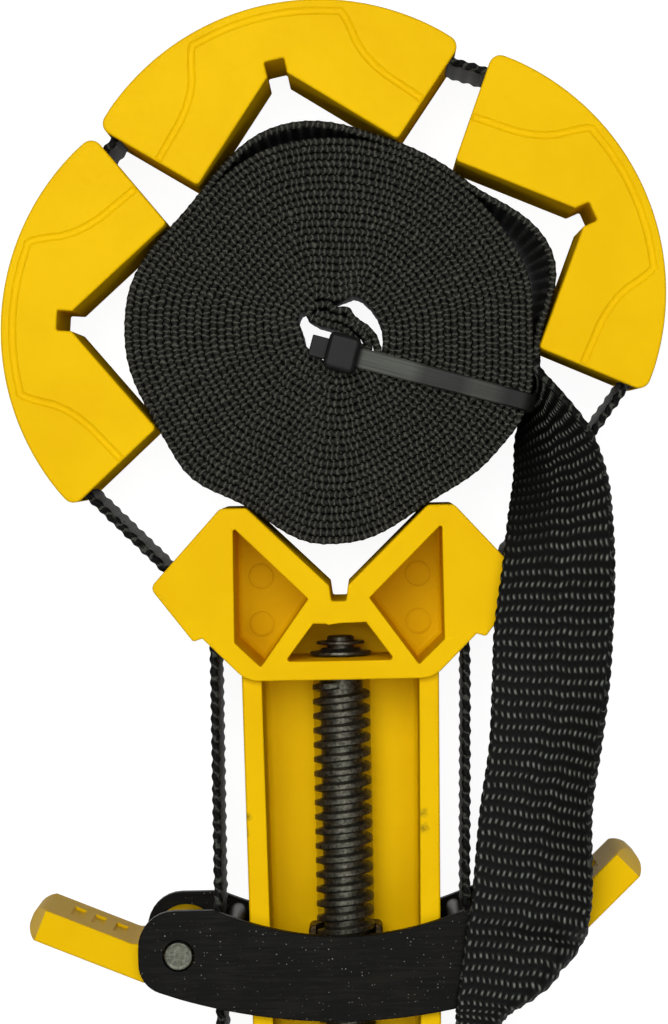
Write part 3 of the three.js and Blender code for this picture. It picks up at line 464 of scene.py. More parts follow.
# Ribs along the webbing and rows across it, from the piece's own weave map in metres; the pale specks on the
# rows are painted glints and the dark gaps painted shade
def webbingCloth():
    look = weave
    material, nodes, links, bsdf = shader("wovenWebbing")
    where = node(nodes, "ShaderNodeUVMap", uv_map="weave").outputs["UV"]
    split = node(nodes, "ShaderNodeSeparateXYZ", links, {"Vector": where})
    maths = partial(mathNode, nodes, links)
    column = maths("DIVIDE", split.outputs["Y"], look["rib"] * mm)
    row = maths("DIVIDE", split.outputs["X"], look["row"] * mm)
    inRow = maths("SUBTRACT", maths("FRACT", row), 0.5)
    odd = maths("ROUND", maths("FRACT", maths("MULTIPLY", maths("FLOOR", row), 0.5)))
    lean = maths("MULTIPLY_ADD", odd, 2 * look["lean"], -look["lean"])
    rib = maths("COSINE", maths("MULTIPLY", maths("MULTIPLY_ADD", lean, inRow, column), 2 * math.pi))
    knot = maths("COSINE", maths("MULTIPLY", inRow, 2 * math.pi))
    wobble = noise(nodes, links, where, look["wobble"][0], 2.0)
    fibre = noise(nodes, links, where, look["fibre"][0], 3.0)
    glint = maths("MULTIPLY_ADD", wobble, look["wobble"][1], maths("SMOOTH_MIN", rib, knot, look["meeting"]))
    glint = maths("MULTIPLY_ADD", fibre, look["fibre"][1], glint)
    least = look["shadowLeast"]  # painted shadow: the strap is darker at its start under the roll's edge, towards its left edge
    shadow = maths("MAXIMUM", spread(nodes, links, split.outputs["X"], *look["shadowRun"], least, 1.0),
                   spread(nodes, links, split.outputs["Y"], *look["shadowSide"], least, 1.0))
    # the glint pattern, dimmed by the painted shadow, picks colours from painted gap shade through the yarn's
    # black to painted glint specks
    shadedGlint = maths("MULTIPLY", spread(nodes, links, glint, *look["glint"], 0.0, 1.0), shadow)
    stops = list(zip(look["stops"], (look["gap"], look["colour"], look["thread"], look["speck"])))
    links.new(ramp(nodes, links, shadedGlint, stops), bsdf.inputs["Base Color"])
    yarn = maths("MULTIPLY_ADD", maths("MULTIPLY", knot, rib), 0.5, maths("MULTIPLY", fibre, 0.5))
    bumped(nodes, links, bsdf, yarn, look["yarnDepth"])
    bsdf.inputs["Roughness"].default_value = look["roughness"]
    bsdf.inputs["Specular IOR Level"].default_value = look["gloss"]
    return material


yellow, leverYellow = yellowPlastic("yellowNylon", 0.0), yellowPlastic("leverNylon", 0.008)
steelBlack, cloth = blackSteel(), webbingCloth()
nylon = blackNylon("blackNylon")
steelBare, threadSteel = plainSteel("bareSteel", steelLook), plainSteel("rolledThread", threadLook)
pinSteel, nutPaintedBounce = plainSteel("pinSteel", pinLook), plainSteel("nutPaintedBounce", nutBounceLook)
print("materials made")

photo = {"width": 668, "height": 1024, "axisX": 370.0, "axisY": 450.0, "focalPixels": 3194.0}
view = {"x": 6.94, "y": 46.67, "height": 681.0, "roll": -1.1, "sensor": 36.0}


def addCamera():
    camera = bpy.data.cameras.new("photoCamera")
    camera.sensor_fit, camera.sensor_height = "VERTICAL", view["sensor"]
    camera.lens = photo["focalPixels"] / photo["height"] * view["sensor"]
    camera.shift_x = (photo["width"] / 2 - photo["axisX"]) / photo["height"]
    camera.shift_y = (photo["axisY"] - photo["height"] / 2) / photo["height"]
    camera.clip_start, camera.clip_end = 0.05, 10
    obj = newObject("photoCamera", camera)
    obj.location = toRow([(view["x"], view["y"], view["height"])])[0]
    obj.rotation_euler = (0, 0, math.radians(view["roll"]))
    bpy.context.scene.camera = obj


lamps = {
    "key": {"place": (-120, 230, 760), "size": 460, "watts": 3.85},
    "fill": {"place": (260, 60, 760), "size": 500, "watts": 1.4},
    "front": {"place": (-60, -330, 700), "size": 460, "watts": 1.15},
}
studio = {
    "sky": 0.1, "floor": 0.13, "floorSeen": 0.93, "floorLit": 0.2, "floorSize": 1600.0, "floorDrop": 0.4,
    "ceiling": 0.22, "horizon": (0.05, 0.55),
}


def seenRays(nodes, links):
    path = node(nodes, "ShaderNodeLightPath").outputs
    either = mathNode(nodes, links, "MAXIMUM", path["Is Camera Ray"], path["Is Glossy Ray"])
    return mathNode(nodes, links, "MAXIMUM", either, path["Is Transmission Ray"])


def seenAs(nodes, links, lit, seen, output):  # lit for the object, and seen for the camera and in reflections
    pick = node(nodes, "ShaderNodeMixShader", links, {0: seenRays(nodes, links)})
    links.new(lit.outputs[0], pick.inputs[1])
    links.new(seen.outputs[0], pick.inputs[2])
    links.new(pick.outputs[0], output.inputs["Surface"])


def addLight():
    scene = bpy.context.scene
    scene.view_settings.view_transform = "Standard"
    for name, lamp in lamps.items():
        light = bpy.data.lights.new(name, "AREA")
        light.shape, light.size, light.energy = "DISK", lamp["size"] * mm, lamp["watts"]
        obj = newObject(name, light)
        obj.location = toRow([lamp["place"]])[0]
        aim = Vector((0, 0, 0)) - obj.location
        obj.rotation_euler = aim.to_track_quat("-Z", "Y").to_euler()
    scene.world = bpy.data.worlds.new("studio")
    scene.world.use_nodes = True
    nodes, links = scene.world.node_tree.nodes, scene.world.node_tree.links
    dim = nodes["Background"]
    dim.inputs["Color"].default_value = (1, 1, 1, 1)
    dim.inputs["Strength"].default_value = studio["sky"]
    ray = node(nodes, "ShaderNodeTexCoord").outputs["Generated"]
    height = node(nodes, "ShaderNodeSeparateXYZ", links, {"Vector": ray}).outputs["Z"]
    dimmed = spread(nodes, links, height, *studio["horizon"], 1.0, studio["ceiling"])
    seen = node(nodes, "ShaderNodeLightPath").outputs["Is Camera Ray"]
    strength = mathNode(nodes, links, "MAXIMUM", dimmed, seen)
    white = node(nodes, "ShaderNodeBackground", links, {"Color": (1, 1, 1, 1), "Strength": strength})
    seenAs(nodes, links, dim, white, nodes["World Output"])


def addFloor():
    half, drop = studio["floorSize"] * mm, -studio["floorDrop"] * mm
    mesh = bpy.data.meshes.new("paleFloor")
    corners = [(-half, -half, drop), (half, -half, drop), (half, half, drop), (-half, half, drop)]
    mesh.from_pydata(corners, [], [(0, 1, 2, 3)])
    floor = newObject("paleFloor", mesh)
    material, nodes, links, dull = shader("paleFloor")
    dull.inputs["Base Color"].default_value = (studio["floor"],) * 3 + (1,)
    dull.inputs["Roughness"].default_value = 0.9
    dull.inputs["Specular IOR Level"].default_value = 0.0
    pale = node(nodes, "ShaderNodeBsdfDiffuse", links, {"Color": (studio["floorLit"],) * 3 + (1,)})
    glow = node(nodes, "ShaderNodeEmission", links, {"Color": (1, 1, 1, 1), "Strength": studio["floorSeen"]})
    both = node(nodes, "ShaderNodeAddShader")
    links.new(pale.outputs[0], both.inputs[0])
    links.new(glow.outputs[0], both.inputs[1])
    seenAs(nodes, links, dull, both, nodes["Material Output"])
    mesh.materials.append(material)


addCamera()
addLight()
addFloor()
print("camera, light and floor made")

band = {
    "width": 25.0, "thickness": 1.6, "base": 3.0, "play": 0.5, "bend": 11.0, "cornerY": 13.4, "legX": 25.8,
}
jaw = {
    "radius": 51.7, "floor": 40.3, "seat": 37.2, "halfAngle": 47.3, "seatAngle": 45.9, "leg": 26.26,
    "relief": 4.1, "outerFillet": 2.4, "innerFillet": 0.9, "reliefFillet": 0.45, "bandRadius": 47.8,
    "rim": 0.5, "flare": 1.0, "flareShare": 0.8, "grooveInset": 2.4, "grooveWidth": 1.7, "grooveDepth": 0.32,
    "grooveEnd": (0.497, 0.534), "grooveIn": (0.70, 0.345), "grooveOut": (0.906, 0.31), "grooveBlend": 2.0,
}
jawPlaces = {
    "left_jaw": ((-0.312, 0.699), 175.9),
    "top_jaw": ((-0.053, 1.0), 102.0),
    "right_jaw": ((0.313, 0.839), 23.0),
}


def jawCentre(name):
    share = jawPlaces[name][0]
    return (share[0] * jaw["radius"], clamp["headHeight"] + share[1] * jaw["radius"])


def jawLoop():
    half, lean, fine = jaw["relief"] / 2, math.radians(jaw["seatAngle"]), jaw["reliefFillet"]
    corner = (jaw["seat"] - jaw["leg"] * math.cos(lean), half + jaw["leg"] * math.sin(lean))
    outer = polar((0, 0), jaw["radius"], jaw["halfAngle"])
    back = jaw["halfAngle"] - math.degrees(2 * jaw["outerFillet"] / jaw["radius"])
    upper = [(jaw["floor"], half, fine), (jaw["seat"], half, fine), (*corner, jaw["innerFillet"])]
    upper.append((*outer, jaw["outerFillet"]))
    lower = [(x, -y, r) for x, y, r in upper[::-1]]
    return [*upper, *arcPoints((0, 0), jaw["radius"], back, -back, 60), *lower]


def soften(line, passes=3):  # rounds the corners of an open line
    line = np.asarray(line, float)
    for _ in range(passes):
        near, far = line[:-1] * 0.75 + line[1:] * 0.25, line[:-1] * 0.25 + line[1:] * 0.75
        line = np.vstack([line[:1], np.stack([near, far], 1).reshape(-1, 2), line[-1:]])
    return line


def grooveCutter(line, width, deep, top):  # a shallow valley with round sides
    shares = [(0.36, 1), (0.26, 0.92), (0.1, 0.45), (0, 0)]
    profile = [(width * side, top - deep * sink) for side, sink in shares] + [(-0.05, top + 1)]
    return carved("groove", ribbonLoop(line, width), profile)


def bandTunnel(line, width):
    base, play = band["base"], band["play"]
    return carved("tunnel", ribbonLoop(line, width), [(0, base - play), (0, base + band["width"] + play)])


def makeJaws():
    body = carved("jaw", jawLoop(), rimProfile(0, clamp["depth"], jaw["rim"], jaw["rim"]))
    half = band["thickness"] / 2 + band["play"]
    far, straight = jaw["halfAngle"] + 3, jaw["flareShare"]
    inner, outer = [], []
    for share in np.linspace(-1, 1, 61):  # the tunnel opens towards its ends
        opened = jaw["flare"] * (max(0, abs(share) - straight) / (1 - straight)) ** 2
        inner.append(polar((0, 0), jaw["bandRadius"] - half - opened / 2, share * far))
        outer.append(polar((0, 0), jaw["bandRadius"] + half + opened, share * far))
    heights = [(0, band["base"] - band["play"]), (0, band["base"] + band["width"] + band["play"])]
    tunnel = carved("tunnel", inner + outer[::-1], heights)
    end, inward, out = (np.array(jaw[key]) * jaw["radius"] for key in ("grooveEnd", "grooveIn", "grooveOut"))
    meet = math.degrees(math.atan2(out[1], out[0])) - jaw["grooveBlend"]
    bow = arcPoints((0, 0), jaw["radius"] - jaw["grooveInset"], meet, -meet, 24)
    flip = np.array([1, -1])
    line = soften([end, inward, out, *bow, out * flip, inward * flip, end * flip], 2)
    cut(body, tunnel, grooveCutter(line, jaw["grooveWidth"], jaw["grooveDepth"], clamp["depth"]))
    for name, (_, angle) in jawPlaces.items():
        x, y = jawCentre(name)
        mesh = body.data.copy()
        mesh.transform(Matrix.Translation((x, y, 0)) @ Matrix.Rotation(math.radians(angle), 4, "Z"))
        finished(newObject(name + "_moulding", mesh), name, yellow, [name])
    drop(body)


makeJaws()
print("jaws made")

head = {
    "halfWidth": 38.4, "plateau": (0.482, 0.622), "shoulder": 0.55, "lip": (0.777, 0.235),
    "lipStep": (0.728, 0.252), "foot": 0.495, "footFillet": 6.0, "fillet": 1.6, "seatFoot": (0.05, 0.545),
    "relief": (0.039, 0.455), "sillBore": 3.1, "seatFillets": (0.5, 0.8), "lipFillets": (0.7, 0.35),
    "rim": 0.4, "pocketFloor": 6.0, "pocketRim": 0.28, "pocketFillet": 1.1, "cornerFillet": 0.35,
    "pocket": [(0.555, 0.89), (0.163, 0.47), (0.42, 0.081), (0.557, 0.224)],
    "sill": 3.9, "windowTop": (0.146, 0.327), "windowHalf": 0.29, "windowFillet": 0.5,
    "discs": [(16.5, 20.5), (16.5, 10.35)], "discRadius": 2.55, "discGroove": 0.42, "discDepth": 0.42,
}
channel = {
    "length": 128.0, "halfWidth": 20.2, "taper": 1.7, "wall": 4.1, "floor": 7.6, "top": 28.5, "trough": 9.9,
    "block": 13.0, "slot": 4.1, "slotTop": -6.0, "fillet": 3.0, "rim": 0.55, "innerRim": 0.35,
    "floorFillet": 1.4, "over": 3.0, "bore": 5.3, "innerFillet": 0.6, "slotFillets": (0.8, 2.0),
    "troughTop": 0.2,
}


def headLoop():
    h, wide, tall = head, head["halfWidth"], clamp["headHeight"]
    right = [
        (h["relief"][0] * wide, h["relief"][1] * tall, h["seatFillets"][0]),
        (h["seatFoot"][0] * wide, h["seatFoot"][1] * tall, h["seatFillets"][1]),
        (h["plateau"][0] * wide, tall, h["fillet"]),
        (h["plateau"][1] * wide, tall, h["fillet"]),
        (wide, h["shoulder"] * tall, h["fillet"]),
        (h["lip"][0] * wide, h["lip"][1] * tall, h["lipFillets"][0]),
        (h["lipStep"][0] * wide, h["lipStep"][1] * tall, h["lipFillets"][1]),
        (h["foot"] * wide, 0, h["footFillet"]),
    ]
    return [(-x, y, r) for x, y, r in right[::-1]] + right


def pocketLoop(side):
    corners = [(side * x * head["halfWidth"], y * clamp["headHeight"]) for x, y in head["pocket"]]
    return [(*corner, head["cornerFillet"]) for corner in corners]


def windowLoop():  # the upper edge keeps a little flash from the mould
    top, height = head["windowTop"][0] * head["halfWidth"], head["windowTop"][1] * clamp["headHeight"]
    bottom, sill, fillet = head["windowHalf"] * head["halfWidth"], head["sill"], head["windowFillet"]
    flash = [(0.98, 0.12), (0.2, 0.02), (-0.06, -0.06), (-0.38, -0.34), (-0.5, -0.08), (-0.95, -0.02)]
    upper = [(share * top, height + lift, 0.1) for share, lift in flash]
    return [(-bottom, sill, fillet), (bottom, sill, fillet), *upper]


def shoulderRoute(side):  # the band's way through a shoulder, from the leg to the jaw's mouth
    name = "left_jaw" if side < 0 else "right_jaw"
    touch = polar(jawCentre(name), jaw["bandRadius"], jawPlaces[name][1] - side * jaw["halfAngle"])
    lean = math.atan2(abs(touch[0]) - band["legX"], touch[1] - band["cornerY"])
    low = band["cornerY"] - band["bend"] * math.tan(lean / 2)
    centre = (band["legX"] + band["bend"], low)
    bend = arcPoints(centre, band["bend"], 180, 180 - math.degrees(lean), 14)
    return touch, [(side * x, y) for x, y in bend]


def channelShell():
    low, high = channel["halfWidth"] - channel["taper"], channel["halfWidth"]
    wall, face, over = channel["wall"], channel["block"] - channel["length"], channel["over"]
    outer = [(-low, -channel["length"], channel["fillet"]), (low, -channel["length"], channel["fillet"])]
    outer += [(high, over), (-high, over)]
    fillet = channel["innerFillet"]
    inner = [(wall - low, face, fillet), (low - wall, face, fillet)]
    inner += [(high - wall, over / 3), (wall - high, over / 3)]
    profile = rimProfile(band["base"], channel["top"], channel["rim"], channel["rim"])
    pocket = (inner, channel["floor"], channel["innerRim"], channel["floorFillet"])
    shell = carved("channelShell", outer, profile, [pocket])
    deep, end = channel["trough"], channel["troughTop"]
    trough = lathe("trough", [(0, face), (deep, face), (deep, end), (0, end)], 96)
    half, top, (foot, crown) = channel["slot"], channel["slotTop"], channel["slotFillets"]
    slotLoop = [(-half, face, foot), (half, face, foot), (half, top, crown), (-half, top, crown)]
    slot = carved("slot", slotLoop, [(0, -1), (0, clamp["screwHeight"])])
    return cut(shell, trough, slot)


def makeFrameBody():
    floor, rim, fillet = head["pocketFloor"], head["pocketRim"], head["pocketFillet"]
    pockets = [(pocketLoop(side), floor, rim, fillet) for side in (-1, 1)]
    pockets.append((windowLoop(), floor, rim, fillet / 3))
    body = carved("headBlock", headLoop(), rimProfile(0, clamp["depth"], head["rim"], head["rim"]), pockets)
    for side in (-1, 1):
        touch, bend = shoulderRoute(side)
        cut(body, bandTunnel([(side * band["legX"], -2), *bend, touch], band["thickness"] + 2 * band["play"]))
    weld(body, channelShell())
    face = channel["block"] - channel["length"]
    bores = [("sillBore", head["sillBore"], -2.5, head["sill"] + 1)]
    bores.append(("blockBore", channel["bore"], -channel["length"] - 1, face + 1))
    for name, radius, foot, end in bores:
        cut(body, lathe(name, [(0, foot), (radius, foot), (radius, end), (0, end)], 48))
    for side in (-1, 1):  # round marks of the ejector pins on the pocket floors
        for x, y in head["discs"]:
            outer = ringPoints((side * x, y), head["discRadius"] + head["discGroove"] / 2, 40)
            inner = ringPoints((side * x, y), head["discRadius"] - head["discGroove"] / 2, 40)
            low, high = floor - head["discDepth"], floor + 0.3
            cut(body, carved("pinMark", outer, [(0.08, low), (0, high)], (), [(inner, 0)]))
    finished(body, "frame", yellow, ["frame_body"])
    body.name = "frame_moulding"


makeFrameBody()
print("frame made")

screw = {
    "radius": 6.0, "root": 4.45, "pitch": 3.0, "top": -0.3, "crest": 0.34, "valley": 0.34, "edge": 0.12,
    "steps": 72, "journal": 5.0, "journalEnd": -163.1, "stub": 2.8, "stubTop": 8.2, "groove": 2.4,
    "grooveY": 6.3, "grooveLength": 0.9, "chamfer": 0.35, "overlap": 4.0, "runOut": 9, "skin": 0.05,
    "faceGap": 0.3, "endGap": 0.6, "shoulder": (0.9, 1.3),
}


def threadCore(top, bottom):  # one unbroken right-hand thread, its ends run out into the core
    steps, pitch, root, tip, edge = (screw[key] for key in ("steps", "pitch", "root", "radius", "edge"))
    flat, flank = screw["valley"] / 2, (1 - screw["crest"] - screw["valley"]) / 2
    rise = [(0, root), (flat, root), (flat + flank * 0.12, root + edge)]
    rise += [(flat + flank * 0.88, tip - edge), (flat + flank + 0.03, tip)]
    section = np.array(rise + [(1 - share, radius) for share, radius in rise[1:][::-1]])
    count, last = len(section), int((top - bottom) / pitch * steps) - steps
    t = np.arange(last + 1)[:, None]
    angle = -2 * math.pi * t / steps
    grown = np.clip(np.minimum(t, last - t) / steps * screw["runOut"], 0, 1)
    radius = root + (section[:, 1][None] - root) * grown
    y = top - pitch * t / steps - pitch * section[:, 0][None]
    points = np.stack([radius * np.sin(angle), y, clamp["screwHeight"] + radius * np.cos(angle)], -1)
    ends = [(0, top - pitch / 2, clamp["screwHeight"]), (0, bottom + pitch / 2, clamp["screwHeight"])]

    def at(turn, k):
        return (turn + steps) * count if k == count else turn * count + k

    faces = []
    for turn in range(last):
        for k in range(count if turn + 1 + steps <= last else count - 1):
            faces.append((at(turn, k), at(turn + 1, k), at(turn + 1, k + 1), at(turn, k + 1)))
    upper = [at(turn, 0) for turn in range(steps + 1)] + [at(0, k) for k in range(count - 1, 0, -1)]
    lower = [at(last, k) for k in range(count)]
    lower += [at(turn, count - 1) for turn in range(last - 1, last - steps - 1, -1)]
    for centre, loop in ((len(points) * count, upper), (len(points) * count + 1, lower)):
        faces += [(loop[i - 1], loop[i], centre) for i in range(len(loop))]
    mesh = bpy.data.meshes.new("thread")
    mesh.from_pydata([tuple(p) for p in points.reshape(-1, 3)] + ends, [], faces)
    bm = bmesh.new()
    bm.from_mesh(mesh)
    return fromBmesh("spindle_bar", bm)


def makeSpindle():
    face = channel["block"] - channel["length"] + screw["faceGap"]
    stub, groove, y, cham = screw["stub"], screw["groove"], screw["grooveY"], screw["chamfer"]
    top, over, core, tip = screw["top"], screw["overlap"], screw["root"] + screw["skin"], screw["stubTop"]
    bar = threadCore(top, face + screw["endGap"])
    upper = lathe("stub", [
        (0, top - over), (core, top - over), (core, top), (stub, top), (stub, y), (groove, y),
        (groove, y + screw["grooveLength"]), (stub, y + screw["grooveLength"]), (stub, tip - cham),
        (stub - cham, tip), (0, tip)])
    journal, end, thick = screw["journal"], screw["journalEnd"], screw["radius"]
    straight, tapered = screw["shoulder"]
    lower = lathe("journal", [
        (0, end), (journal - 1, end), (journal, end + 1), (journal, face), (thick, face),
        (thick, face + straight), (core, face + tapered), (core, face + over), (0, face + over)])
    weld(bar, upper, lower)
    finished(bar, "screw", threadSteel, ["spindle"], 28)


washer = {"flange": 6.35, "hub": 4.1, "bore": 3.1, "base": 4.2, "flangeTop": 5.0, "top": 5.6, "edge": 0.25}
clip = {"outer": 5.0, "inner": 2.7, "lug": 3.6, "mouth": 1.7, "base": 6.45, "thickness": 0.6, "rim": 0.12}


def makeWasher():
    w = washer
    ring = lathe("thrust_washer_disc", [
        (w["bore"], w["base"]), (w["flange"] - w["edge"], w["base"]), (w["flange"], w["base"] + w["edge"]),
        (w["flange"] - 0.1, w["flangeTop"] - 0.1), (w["flange"] - 0.9, w["flangeTop"]),
        (w["hub"] + 0.4, w["flangeTop"] + 0.1), (w["hub"], w["top"] - 0.15), (w["hub"] - 0.2, w["top"]),
        (w["bore"], w["top"])])
    finished(ring, "frame", threadSteel, ["thrust_washer"], 40)


def makeClip():  # an open retaining ring, its mouth towards the back
    c = clip
    opening = math.degrees(math.asin(c["mouth"] / c["outer"]))
    outer = arcPoints((0, 0), c["outer"], -90 + opening, 270 - opening, 64)
    inner = []
    for angle in np.linspace(270 - opening * 1.6, -90 + opening * 1.6, 80):
        near = max(0, math.cos(math.radians(3 * (angle - 90)))) ** 0.5  # three lugs reach into the groove
        inner.append(polar((0, 0), c["lug"] + (c["inner"] - c["lug"]) * near, angle))
    ring = carved("clip_ring", outer + inner, rimProfile(0, c["thickness"], c["rim"], c["rim"]))
    stand = Matrix.Rotation(math.radians(90), 4, "X")
    ring.data.transform(Matrix.Translation((0, c["base"] + c["thickness"], clamp["screwHeight"])) @ stand)
    finished(ring, "screw", threadSteel, ["retaining_clip"])


makeSpindle()
makeWasher()
makeClip()
print("screw, washer and clip made")

plate = {
    "halfLength": 42.2, "top": -46.4, "bottom": -69.5, "flat": 0.63, "sag": 5.8, "rise": 7.9,
    "topFillet": 7.4, "bottomFillet": 6.2, "shoulderFillet": 2.6, "thickness": 2.7, "curve": 0.84,
    "frontBase": 28.8, "frontRim": 0.3, "backRim": 0.5,
}
rivet = {"x": 34.0, "y": -55.5, "radius": 2.85, "top": 32.0, "rim": 0.3, "hollow": 0.12, "fit": 0.3}
nut = {
    "width": 15.4, "length": 15.0, "proud": 0.1, "step": 2.4, "fillet": 1.2, "base": 7.9, "top": 28.5,
    "neck": 3.8, "rim": 0.5, "neckFillet": 0.8, "fit": 0.3, "over": 2.0,
}


def plateLoop():
    flat = plate["flat"] * plate["halfLength"]
    shares = np.linspace(-1, 1, 41)[1:-1]
    half, top, low = plate["halfLength"], plate["top"], plate["bottom"]
    upper = [(-s * flat, top - plate["sag"] * (1 - s * s)) for s in shares]
    lower = [(s * half, low + plate["rise"] * s * s) for s in shares if abs(s) < plate["curve"]]
    return [
        (half, top, plate["topFillet"]), (flat, top, plate["shoulderFillet"]), *upper,
        (-flat, top, plate["shoulderFillet"]), (-half, top, plate["topFillet"]),
        (-half, low + plate["rise"], plate["bottomFillet"]), *lower,
        (half, low + plate["rise"], plate["bottomFillet"])]


def makePlates():
    for name, base in (("back_plate", 0.0), ("front_plate", plate["frontBase"])):
        holes = []
        for side in (-1, 1):
            centre = (side * rivet["x"], rivet["y"])
            holes.append((ringPoints(centre, rivet["radius"] + rivet["fit"], 48), 0.2))
        profile = rimProfile(base, base + plate["thickness"], plate["backRim"], plate["frontRim"])
        blank = carved(name + "_blank", plateLoop(), profile, (), holes)
        finished(blank, "crossbar", steelBlack, [name])


def makeRivets():
    r = rivet
    for side, word in ((-1, "left"), (1, "right")):
        ring = ringPoints((side * r["x"], r["y"]), r["radius"], 64)
        profile = rimProfile(0, r["top"], r["rim"], r["rim"]) + [(r["rim"] + 0.35, r["top"] - r["hollow"])]
        post = carved(word + "_rivet_post", ring, profile)
        finished(post, "crossbar", steelBare, [word + "_lever_rivet"], 40)


def makeNut():  # behind the screw it reaches the plates' top edge, in front it is set back
    top = plate["top"] - plate["sag"] + nut["proud"]
    foot, half, neck, middle = top - nut["length"], nut["width"] / 2, nut["neck"], clamp["screwHeight"]

    def block(end):
        corners = [(-half, foot), (half, foot), (half, end), (-half, end)]
        return [(*corner, nut["fillet"]) for corner in corners]

    base, rim, fillet, fit = nut["base"], nut["rim"], nut["neckFillet"], nut["fit"]
    body = carved("nut_block", block(top - nut["step"]), rimProfile(base, nut["top"], rim, rim))
    weld(body, carved("shelf", block(top), rimProfile(base, middle, rim, rim)))
    stem = [(-neck, foot, fillet), (neck, foot, fillet), (neck, top, fillet), (-neck, top, fillet)]
    weld(body, carved("neck", stem, rimProfile(plate["thickness"] + fit, base + 2, 0.3, 0)))
    over, bore = nut["over"], screw["radius"] + fit
    profile = [(0, foot - over), (bore + over, foot - over), (bore, foot + 0.4)]
    profile += [(bore, top + over), (0, top + over)]
    # the nut's steel carries a painted brown reflection of the yellow bounce
    finished(cut(body, lathe("bore", profile)), "crossbar", nutPaintedBounce, ["spindle_nut"])


makePlates()
makeRivets()
makeNut()
print("crossbar made")

lever = {
    "low": 6.6, "high": 7.55, "start": 30.0, "end": 270.0, "power": 3, "length": 31.0, "top": -1.6,
    "bottom": -8.25, "root": 0.16, "neckFillet": 3.0, "tipFillet": 2.6, "chamfer": (2.4, 6.0), "base": 3.0,
    "height": 28.5, "rim": 0.45, "leftAngle": 22.3, "rightAngle": 43.8, "marks": (13.2, 18.0, 22.6),
    "markSize": (2.8, 11.0), "markDepth": 0.5,
}


def leverLoop():
    cam = []
    for share in np.linspace(0, 1, 61):
        radius = lever["low"] + (lever["high"] - lever["low"]) * share ** lever["power"]
        cam.append(polar((0, 0), radius, lever["start"] + (lever["end"] - lever["start"]) * share))
    start, top, low = math.radians(lever["start"]), lever["top"], lever["bottom"]
    neck = (lever["low"] - top * math.sin(start)) / math.cos(start)
    return [*cam, (lever["root"] * lever["length"], low, lever["neckFillet"]),
            (lever["length"], low, lever["tipFillet"]), (lever["length"], top, lever["tipFillet"]),
            (neck, top, lever["neckFillet"])]


def makeLevers():
    profile = rimProfile(lever["base"], lever["height"], lever["rim"], lever["rim"])
    body = carved("lever", leverLoop(), profile)
    bore = ringPoints((0, 0), rivet["radius"] + rivet["fit"], 48)
    cut(body, carved("bore", bore, [(0, 0), (0, clamp["depth"])]))
    run, fall, size = lever["chamfer"][0], lever["chamfer"][1], lever["length"]
    for z, way in ((lever["height"], 1), (lever["base"], -1)):  # the tip is sloped on both faces
        points = [(size - run, z), (size + run, z - way * 2 * fall)]
        points += [(size + run, z + way * 3), (size - run, z + way * 3)]
        wedge = carved("wedge", points, [(0, -size), (0, size)])
        wedge.data.transform(Matrix.Rotation(math.radians(90), 4, "X"))
        cut(body, wedge)
    middle = (lever["base"] + lever["height"]) / 2
    for x in lever["marks"]:  # three shallow pockets on the thumb side
        wide, tall = lever["markSize"][0] / 2, lever["markSize"][1] / 2
        points = [(x + i * wide, middle + k * tall, 0.4) for i, k in ((-1, -1), (1, -1), (1, 1), (-1, 1))]
        mark = carved("mark", points, [(0, -3), (0, 0), (0.5, lever["markDepth"])])
        stand = Matrix.Translation((0, lever["top"], 0)) @ Matrix.Rotation(math.radians(90), 4, "X")
        mark.data.transform(stand)
        cut(body, mark)
    for side, word, angle in ((-1, "left", lever["leftAngle"]), (1, "right", lever["rightAngle"])):
        mesh = body.data.copy()
        swung = Matrix.Rotation(math.radians(side * angle), 4, "Z")
        place = Matrix.Translation((side * rivet["x"], rivet["y"], 0)) @ swung
        mesh.transform(place @ Matrix.Scale(side, 4, (1, 0, 0)))
        if side < 0:
            mesh.flip_normals()
        made = newObject(word + "_lever_moulding", mesh)
        finished(made, word + "_lever", leverYellow, [word + "_cam_lever"])
    drop(body)


makeLevers()
print("levers made")

webbing = {
    "loop": 2.4, "laps": 1.24, "step": 0.4, "edgeDepth": 0.62, "legFoot": -125.5, "split": 8.0,
    "rightFoot": -71.5, "gap": 0.3, "leftFootX": -25.9, "rightFootX": 24.8, "seed": 7, "fade": 3.0,
    "flats": [1.4, 2.6, 8.0, 17.0, 22.4, 23.6], "swing": 0.05, "strand": 0.17, "crest": 0.16,
    "legBends": (-24, -46), "legBlend": ((0, -0.016, 0), (0, -0.057, 0)),
}
edgeLook = {
    # both ramps run from painted shade in the dips to painted glints on the yarn's crests
    "twistShadeAndGlints": [(0.25, (0.0016, 0.0016, 0.0014)), (0.62, (0.010, 0.0105, 0.0085)),
               (0.98, (0.075, 0.08, 0.066))],
    "pitShadeAndGlints": [(0.08, (0.0010, 0.0010, 0.0008)), (0.34, (0.011, 0.011, 0.0085)), (0.7, (0.027, 0.027, 0.021)),
             (1.0, (0.10, 0.10, 0.082))],
    "slant": 1.2, "bow": 2.4, "roughness": 0.6, "gloss": 0.1, "wander": (420.0, 1.6), "fibre": (3600.0, 1.1),
    "pitShadeDepth": 2.6, "meeting": 0.5, "pitGlint": (-0.3, 1.8), "twistGlint": (0.2, 1.8), "yarnDepth": 0.00012,
}


